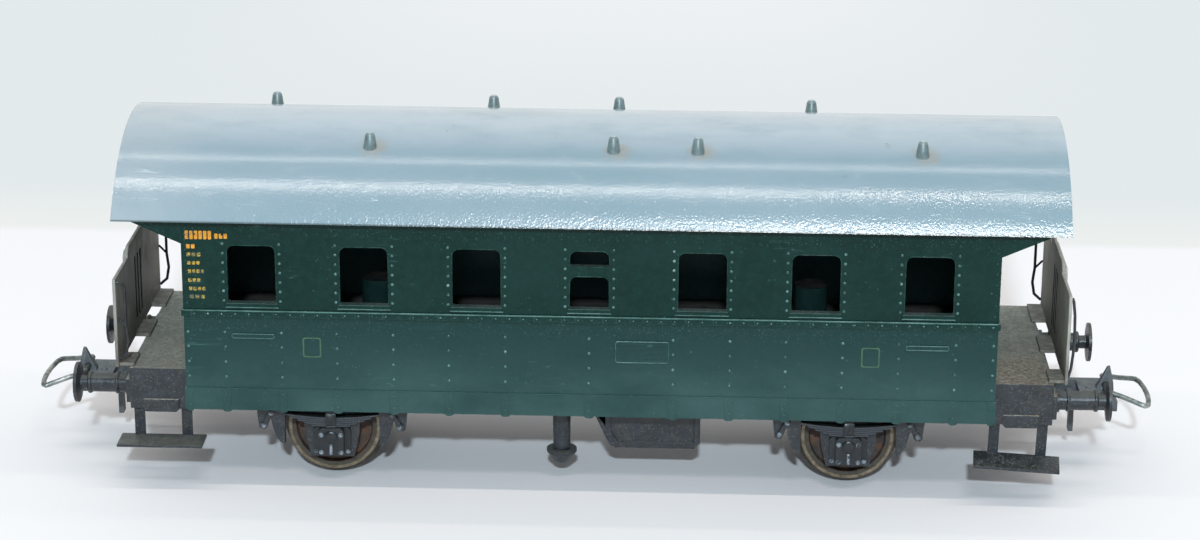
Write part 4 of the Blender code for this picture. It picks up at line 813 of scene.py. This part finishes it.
def make_side_rivets(side):
    """The rivets of one side wall, from the columns beside its windows to the small ones under the eaves."""
    out = (0.0, side, 0.0)
    wall = side * WALL_Y
    bm = bmesh.new()
    for k in range(-3, 4):
        away = COLUMN_FROM_WINDOW if k else MIDDLE_COLUMN
        for direction in (-1, 1):
            for row in range(COLUMN_COUNT):
                place = (k * WINDOW_PITCH + direction * away, wall, COLUMN_START + row * COLUMN_PITCH)
                add_dome(bm, place, out, RIVET_RADIUS, RIVET_HEIGHT)
    for x in column_places():
        for z in LOWER_RIVETS:
            add_dome(bm, (x, wall, z), out, RIVET_RADIUS, RIVET_HEIGHT)
    piece("rivets_" + side_name(side), bm, HIGHLIT_RIVET_GREEN)

    bm = bmesh.new()
    for direction in (-1, 1):
        for row in range(8):
            place = (direction * END_COLUMN, wall, END_COLUMN_START + row * END_COLUMN_PITCH)
            add_dome(bm, place, out, SMALL_RIVET, RIVET_HEIGHT * 0.8)
    for k in range(-14, 15):
        add_dome(bm, (k * WINDOW_PITCH / 4, wall, EAVE_ROW), out, SMALL_RIVET, RIVET_HEIGHT * 0.7)
    piece("eave_rivets_" + side_name(side), bm, HIGHLIT_GREEN)


def make_belt_and_straps(side):
    """The seams and rivets of the belt, and the riveted straps that run down over the skirt."""
    out = (0.0, side, 0.0)
    count = int((2 * WALL_X - 1.0) / BELT_RIVET_PITCH)
    places = [(index - count / 2) * BELT_RIVET_PITCH for index in range(count + 1)]
    bm = bmesh.new()
    for x in places:
        seam = rounded((x - 0.08, BELT_MIDDLE - 0.3), (x + 0.08, BELT_MIDDLE + 0.3), 0.07, 2)
        add_slab(bm, seam, 1, side * (BELT_Y - 0.03), side * (BELT_Y + 0.05), 0.03)
    piece("belt_seams_" + side_name(side), bm, HIGHLIT_GREEN)
    bm = bmesh.new()
    for x in places:
        add_dome(bm, (x + 0.32, side * BELT_Y, BELT_MIDDLE - 0.02), out, 0.12, 0.09)
    piece("belt_rivets_" + side_name(side), bm, HIGHLIT_RIVET_GREEN)

    bm = bmesh.new()
    top = SKIRT_TOP - 0.03
    for x in column_places():
        half = 0.52 if abs(x) < 45.0 else 0.36
        outline = [(x + half, top), (x - half, top), (x - half, BODY_BOTTOM)]
        for step in range(1, 6):
            angle = math.pi * step / 6
            outline.append((x - half * math.cos(angle), BODY_BOTTOM - 0.24 * math.sin(angle)))
        outline.append((x + half, BODY_BOTTOM))
        add_slab(bm, outline, 1, side * (SKIRT_Y - 0.05), side * (SKIRT_Y + STRAP_RAISE), 0.03)
    piece("skirt_straps_" + side_name(side), bm, GREEN_TRIM)

    bm = bmesh.new()
    for x in column_places():
        for z in STRAP_RIVETS:
            add_dome(bm, (x, side * (SKIRT_Y + STRAP_RAISE), z), out, SMALL_RIVET, RIVET_HEIGHT * 0.8)
    piece("strap_rivets_" + side_name(side), bm, HIGHLIT_GREEN)


def make_edge_lines(side):
    """Fine pale beads along the edges of the belt, the skirt and the raised bars and panel: their paleness is
    painted highlight, with some dust.
    """
    end = WALL_X - 0.1
    bm = bmesh.new()
    add_tube(bm, [(x, side * BELT_Y, BELT_TOP) for x in (-end, 0.0, end)], 0.09, 6)
    piece("belt_bead_" + side_name(side), bm, EDGE_HIGHLIGHT_GREEN)
    bm = bmesh.new()
    for z, y in ((BELT_FOOT, BELT_Y - 0.03), (SKIRT_TOP, SKIRT_Y - 0.01)):
        add_tube(bm, [(x, side * y, z) for x in (-end, 0.0, end)], 0.045, 6)
    piece("edge_beads_" + side_name(side), bm, HIGHLIT_GREEN)
    bm = bmesh.new()
    panels = [(k * WINDOW_PITCH, 4.8, 0.5, 18.75) for k in (-3, 3)]
    panels.append((6.0, 6.0, 2.5, 17.65))
    for x, length, height, z in panels:
        radius = min(0.3, height / 2 - 0.01)
        outline = rounded((x - length / 2, z - height / 2), (x + length / 2, z + height / 2), radius)
        add_loop(bm, outline, side * (WALL_Y + 0.14), 0.06, 6)
    piece("panel_beads_" + side_name(side), bm, EDGE_HIGHLIGHT_GREEN)


def make_window_trim(side):
    """The thin drip ledge under each window's sill, and the ribs across the middle raised panel."""
    bm = bmesh.new()
    for k in range(-3, 4):
        half = (WINDOW_HALF if k else MIDDLE_WINDOW_HALF) + 0.25
        x = k * WINDOW_PITCH
        add_tube(bm, [(px, side * (WALL_Y + 0.2), 22.2) for px in (x - half, x + half)], 0.07, 6)
    piece("sill_beads_" + side_name(side), bm, EDGE_HIGHLIGHT_GREEN)

    # Beads round each window opening, paler as painted highlight along the moulded edge.
    bm = bmesh.new()
    openings = [(k * WINDOW_PITCH, WINDOW_HALF, WINDOW_SILL, WINDOW_TOP) for k in range(-3, 4) if k]
    openings.append((0.0, MIDDLE_WINDOW_HALF, WINDOW_SILL, 26.5))
    openings.append((0.0, MIDDLE_WINDOW_HALF, 27.65, WINDOW_TOP))
    for x, half, low, high in openings:
        outline = rounded((x - half, low), (x + half, high), 0.8, 5)[:12]
        outline += [(x - half, low), (x + half, low)]
        add_loop(bm, outline, side * (WALL_Y - 0.01), 0.055, 5)
    piece("window_beads_" + side_name(side), bm, WINDOW_EDGE_HIGHLIT)
    bm = bmesh.new()
    for index in range(4):
        add_tube(bm, [(x, side * (WALL_Y + 0.15), 16.9 + index * 0.5) for x in (3.25, 8.75)], 0.06, 6)
    piece("panel_ribs_" + side_name(side), bm, GREEN_TRIM)


# Printed marks as bars without letters: start, length, middle height and bar height of each row

ORANGE_ROWS = (
    (-45.4, 3.1, 30.65, 1.0),
    (-42.1, 1.6, 30.55, 0.6),
    (-45.3, 1.1, 29.3, 0.5),
)
YELLOW_ROWS = (
    (-45.3, 1.75, 28.35, 0.46),
    (-45.25, 1.55, 27.35, 0.42),
    (-45.2, 1.95, 26.35, 0.44),
    (-45.2, 1.5, 25.3, 0.44),
    (-45.15, 2.0, 24.3, 0.44),
    (-45.1, 1.9, 23.35, 0.44),
)


def make_marks(side):
    """The small marks near one end of each side, as plain broken bars, and two blank framed plates."""
    for color, rows, finish in (("orange", ORANGE_ROWS, ORANGE), ("yellow", YELLOW_ROWS, YELLOW)):
        bm = bmesh.new()
        for start, length, middle, height in rows:
            count = max(2, round(length / 0.55))
            step = length / count
            for index in range(count):
                low = start + index * step
                ends = sorted((-side * low, -side * (low + step * 0.74)))
                outline = rounded((ends[0], middle - height / 2), (ends[1], middle + height / 2), 0.08, 2)
                add_slab(bm, outline, 1, side * (WALL_Y - 0.02), side * (WALL_Y + 0.02))
        piece(color + "_marks_" + side_name(side), bm, finish)
    bm = bmesh.new()
    for x in (-31.4, 31.7):
        outer = rounded((x - 1.05, 16.3), (x + 1.05, 18.7), 0.25, 3)
        inner = rounded((x - 0.88, 16.47), (x + 0.88, 18.53), 0.2, 3)
        add_frame(bm, outer, inner, 1, side * (WALL_Y - 0.03), side * (WALL_Y + 0.045))
    piece("blank_plates_" + side_name(side), bm, PLATE_GREEN)


# Running gear details

BOX_BOLTS = ((-1.12, 0.2), (1.12, 0.2), (-1.12, -1.92), (1.12, -1.92))
FLANGE_BOLTS = ((-1.85, -2.15), (1.85, -2.15))
HANGER_KNOBS = ((7.0, 8.55), (7.88, 7.05))


def reach(node, side):
    """How far a CAD node reaches out on one side of the coach."""
    low, high = corners(node)
    return high[1] if side > 0 else -low[1]


def make_running_gear_details(end, side):
    """Bolts, ribs and knobs on one axlebox, its guard and its spring hangers."""
    name = end_name(end) + "_" + side_name(side)
    box = reach("axlebox_" + name, side)
    out = (0.0, side, 0.0)
    x0 = end * AXLE_X
    bm = bmesh.new()
    for dx, dz in BOX_BOLTS:
        add_bolt(bm, (x0 + dx, side * (box - 0.36), AXLE_Z + dz), out, 0.22, 0.26)
    for dx, dz in FLANGE_BOLTS:
        add_bolt(bm, (x0 + dx, side * (box - 1.3), AXLE_Z + dz), out, 0.2, 0.24)
    rib = rounded((x0 - 0.16, AXLE_Z - 2.15), (x0 + 0.16, AXLE_Z - 0.85), 0.08, 2)
    add_slab(bm, rib, 1, side * (box - 0.4), side * (box - 0.12), 0.06)
    piece("axlebox_bolts_" + name, bm, BLACK_GREY_PATCHED)

    guard = reach("axle_guard_" + name, side)
    bm = bmesh.new()
    for direction in (-1, 1):
        for dx, z in HANGER_KNOBS:
            add_dome(bm, (x0 + direction * dx, side * (guard - 0.03), z), out, 0.36, 0.28, 12)
    piece("hanger_knobs_" + name, bm, BLACK_GREY_PATCHED)

    spring = reach("leaf_spring_" + name, side)
    low, high = corners("leaf_spring_" + name)
    bm = bmesh.new()
    outline = rounded((x0 - 0.62, low[2] + 0.25), (x0 + 0.62, high[2] - 0.2), 0.1, 2)
    add_slab(bm, outline, 1, side * (spring - 0.1), side * (spring + 0.1), 0.05)
    add_bolt(bm, (x0, side * (spring + 0.08), AXLE_Z + 1.75), out, 0.17, 0.18)
    piece("spring_buckle_" + name, bm, BOX_BLACK)


# Ends: doors, buffers and couplings

KNOB_PLACE = (2.9, 21.3)
HINGE_HEIGHTS = (15.9, 20.8, 27.9)
RAIL_Y = 5.4
RAIL_FEET = (18.2, 24.8)


def door_window(margin, radius):
    """The outline of the door's window, wider by a margin all round."""
    half = DOOR_WINDOW_HALF + margin
    return rounded((-half, WINDOW_SILL - margin), (half, WINDOW_TOP + margin), radius)


def make_end_details(end):
    """The handles, hinges, handrails, rivets and window frame of one end wall and its door."""
    wall = end * WALL_X
    door = end * DOOR_X
    out = (end, 0.0, 0.0)
    bm = bmesh.new()
    y, z = -end * KNOB_PLACE[0], KNOB_PLACE[1]
    add_turned(bm, [(0.0, 0.32), (0.12, 0.32), (0.16, 0.14), (0.42, 0.14), (0.46, 0.0)], (door, y, z), out)
    start = Vector((door + end * 0.4, y, z))
    handle = [start, start + Vector((0.0, end * 0.95, 0.0)), start + Vector((0.0, end * 1.1, -0.12))]
    add_tube(bm, handle, 0.12)
    for z in HINGE_HEIGHTS:
        add_tube(bm, [(door, end * 3.62, z - 0.55), (door, end * 3.62, z + 0.55)], 0.15)
    for y in (-RAIL_Y, RAIL_Y):
        rail = [(wall, y, RAIL_FEET[0]), (wall + end * 0.55, y, 18.35), (wall + end * 0.7, y, 18.8)]
        rail += [(wall + end * 0.7, y, 24.2), (wall + end * 0.55, y, 24.65), (wall, y, RAIL_FEET[1])]
        add_tube(bm, rail, 0.14)
        for z in RAIL_FEET:
            add_dome(bm, (wall, y, z), out, 0.28, 0.16, 10)
    piece("door_fittings_" + end_name(end), bm, RAILING)

    bm = bmesh.new()
    for side in (-1, 1):
        for y in (6.7, 14.0):
            for row in range(12):
                add_dome(bm, (wall, side * y, 15.4 + row * 1.35), out, RIVET_RADIUS, RIVET_HEIGHT)
        for column in range(4):
            add_dome(bm, (wall, side * (8.2 + column * 1.5), 30.25), out, RIVET_RADIUS, RIVET_HEIGHT)
    for row in range(9):
        for y in (-3.1, 3.1):
            add_dome(bm, (door, y, 15.2 + row * 0.72), out, RIVET_RADIUS * 0.8, RIVET_HEIGHT * 0.8)
    piece("end_rivets_" + end_name(end), bm, HIGHLIT_RIVET_GREEN)

    bm = bmesh.new()
    add_frame(bm, door_window(0.3, 0.5), door_window(0.02, 0.3), 0, door - end * 0.03, door + end * 0.1)
    for z in (15.6, 20.9):
        bar = rounded((-2.9, z), (2.9, z + 0.22), 0.09, 2)
        add_slab(bm, bar, 0, door - end * 0.03, door + end * 0.08, 0.03)
    piece("door_frame_" + end_name(end), bm, GREEN_TRIM)


BUFFER_RINGS = (1.3, 4.5)
RING_PROFILE = ((0.0, 1.0), (0.0, 1.2), (0.12, 1.28), (0.3, 1.28), (0.42, 1.2), (0.42, 1.0))
BASE_BOLTS = ((-1.15, -1.15), (-1.15, 1.15), (1.15, -1.15), (1.15, 1.15))


def make_buffer_details(end, side):
    """The rings round one buffer's sleeve and the four bolts of its base."""
    name = end_name(end) + "_" + side_name(side)
    low, high = corners("buffer_" + name)
    y = (low[1] + high[1]) / 2
    z = (low[2] + high[2]) / 2
    base = high[0] if end < 0 else low[0]
    out = (end, 0.0, 0.0)
    bm = bmesh.new()
    for start in BUFFER_RINGS:
        add_turned(bm, [(start + place, radius) for place, radius in RING_PROFILE], (base, y, z), out, 24)
    for dy, dz in BASE_BOLTS:
        add_dome(bm, (base + end * 0.02, y + dy, z + dz), out, 0.2, 0.16)
    piece("buffer_rings_" + name, bm, BLACK)


def make_coupling_details(end):
    """The rivet that holds the hook, the pin that the bail turns on, and a slotted screw under the floor."""
    up = (0.0, 0.0, 1.0)
    bm = bmesh.new()
    add_dome(bm, (end * 58.3, 0.0, COUPLER_TOP), up, 0.42, 0.2, 14)
    pin = [(-0.02, 0.75), (0.12, 0.75), (0.24, 0.6), (0.24, 0.0)]
    add_turned(bm, pin, (end * 51.6, 0.0, COUPLER_TOP), up, 16)
    piece("coupling_rivets_" + end_name(end), bm, COUPLER)
    bm = bmesh.new()
    x = end * 2 * WINDOW_PITCH
    head = [(-0.05, 1.5), (0.3, 1.5), (0.62, 1.1), (0.62, 0.0)]
    add_turned(bm, head, (x, 0.0, 13.2), (0.0, 0.0, -1.0), 24)
    slot = [(x - 1.05, -0.16), (x + 1.05, -0.16), (x + 1.05, 0.16), (x - 1.05, 0.16)]
    add_slab(bm, slot, 2, 12.6, 12.5)
    piece("floor_screw_" + end_name(end), bm, AXLE)


def build_pieces():
    for side in (-1, 1):
        make_side_rivets(side)
        make_belt_and_straps(side)
        make_edge_lines(side)
        make_window_trim(side)
        make_marks(side)
    for end in (-1, 1):
        make_end_details(end)
        make_coupling_details(end)
        for side in (-1, 1):
            make_running_gear_details(end, side)
            make_buffer_details(end, side)


# Camera, table and light

CAMERA_PLACE = (12.62, -335.89, 134.47)
CAMERA_YAW = math.radians(-2.04)
CAMERA_PITCH = math.radians(-18.44)
CAMERA_ROLL = math.radians(0.36)
SENSOR_WIDTH = 36.0
CAMERA_FOCAL = 3027.77 / 1200 * SENSOR_WIDTH
TABLE_BACK = 81.0
TABLE_REACH = 2500.0


def put(name, data, place, across, upward, back):
    """Puts a camera or lamp at a place in millimetres, with its own X, Y and Z along three directions."""
    made = bpy.data.objects.new(name, data)
    turn = Matrix((across, upward, back)).transposed().to_4x4()
    made.matrix_world = Matrix.Translation(Vector(place) * MM) @ turn
    bpy.context.scene.collection.objects.link(made)
    return made


def make_camera():
    level = math.cos(CAMERA_PITCH)
    forward = Vector((math.sin(CAMERA_YAW) * level, math.cos(CAMERA_YAW) * level, math.sin(CAMERA_PITCH)))
    right = Vector((math.cos(CAMERA_YAW), -math.sin(CAMERA_YAW), 0.0))
    above = right.cross(forward)
    across = right * math.cos(CAMERA_ROLL) + above * math.sin(CAMERA_ROLL)
    upward = above * math.cos(CAMERA_ROLL) - right * math.sin(CAMERA_ROLL)
    data = bpy.data.cameras.new("camera")
    data.sensor_width = SENSOR_WIDTH
    data.sensor_fit = "HORIZONTAL"
    data.lens = CAMERA_FOCAL
    data.clip_start = 0.01
    data.clip_end = 20.0
    bpy.context.scene.camera = put("camera", data, CAMERA_PLACE, across, upward, -forward)


def make_table():
    """A pale table, and beyond its back line a pale backdrop sheet that the camera sees at a plain level. The
    table darkens towards the camera as painted shade, and the backdrop is brighter in its middle further back
    as painted light.
    """
    g = Finish("table_paper_pale", (0.87, 0.87, 0.89), 0.6, 0.0, 0.2)
    paper = g.mix(g.noise(0.02, 3.0, 0.5), (0.865, 0.835, 0.84), (0.885, 0.85, 0.855))
    # Darker towards the camera: painted shade on the table.
    paper = g.mix(g.between(g.y, -60.0, -420.0), paper, (0.70, 0.695, 0.70))
    material = g.finish(paper, None, (g.noise(0.6, 4.0, 0.6), 0.02, 0.2))
    beyond = g.between(g.y, TABLE_BACK - 1.0, TABLE_BACK + 2.5)
    far = g.between(g.y, TABLE_BACK + 30.0, TABLE_BACK + 190.0)
    # Brighter in the middle further back: painted light on the backdrop.
    middle = g.times(g.between(g.size_of(g.x), 95.0, 15.0), far)
    tone = g.mix(middle, (0.775, 0.825, 0.835), (0.865, 0.89, 0.91))
    tone = g.mix(g.between(g.y, TABLE_BACK, TABLE_BACK + 28.0), (0.84, 0.87, 0.86), tone)
    glow = g.node("ShaderNodeEmission", {"Color": tone}).outputs[0]
    path = g.node("ShaderNodeLightPath").outputs
    seen = g.most(path["Is Camera Ray"], g.most(path["Is Glossy Ray"], path["Is Transmission Ray"]))
    blend = g.node("ShaderNodeMixShader", {0: g.times(seen, beyond), 1: g.shader.outputs[0], 2: glow})
    output = next(node for node in g.tree.nodes if node.bl_idname == "ShaderNodeOutputMaterial")
    g.fill(output, {"Surface": blend.outputs[0]})
    edge = TABLE_REACH * MM
    mesh = bpy.data.meshes.new("table")
    corner_points = [(-edge, -edge, 0.0), (edge, -edge, 0.0), (edge, edge, 0.0), (-edge, edge, 0.0)]
    mesh.from_pydata(corner_points, [], [(0, 1, 2, 3)])
    mesh.materials.append(material)
    table = bpy.data.objects.new("table", mesh)
    bpy.context.scene.collection.objects.link(table)


def make_area(name, place, aim_height, width, length, power, color):
    """A soft rectangular lamp, turned to that height above the middle, with its length along X."""
    data = bpy.data.lights.new(name, "AREA")
    data.shape = "RECTANGLE"
    data.size = length * MM
    data.size_y = width * MM
    data.energy = power
    data.color = color
    back = (Vector(place) - Vector((0.0, 0.0, aim_height))).normalized()
    across = Vector((1.0, 0.0, 0.0))
    put(name, data, place, across, back.cross(across).normalized(), back)


def make_lights():
    make_area("strip_front", (0, -165, 1000), 20, 22, 2200, 3.9, (1.0, 0.91, 0.82))
    make_area("strip_back", (0, 200, 1000), 20, 22, 2200, 1.3, (1.0, 0.93, 0.86))
    make_area("strip_right", (110, -588, 830), 20, 90, 300, 1.5, (1.0, 0.99, 0.97))
    make_area("front_small", (24, -900, 520), 15, 30, 45, 7.8, (0.74, 0.90, 1.0))


def make_room():
    """Plain pale surroundings: bluish in front, and brighter low down behind."""
    world = bpy.data.worlds.new("room")
    world.use_nodes = True
    g = Graph(world.node_tree, "Generated", 1.0)
    behind = g.times(g.between(g.y, -0.05, 0.35), g.between(g.z, 0.8, 0.6))
    tone = g.mix(behind, (0.30, 0.35, 0.38), (0.98, 1.0, 1.0))
    g.fill(world.node_tree.nodes["Background"], {"Color": tone, "Strength": 1.0})
    bpy.context.scene.world = world


dress_nodes()
build_pieces()
make_camera()
make_table()
make_lights()
make_room()

bpy.context.scene.view_settings.view_transform = "Standard"
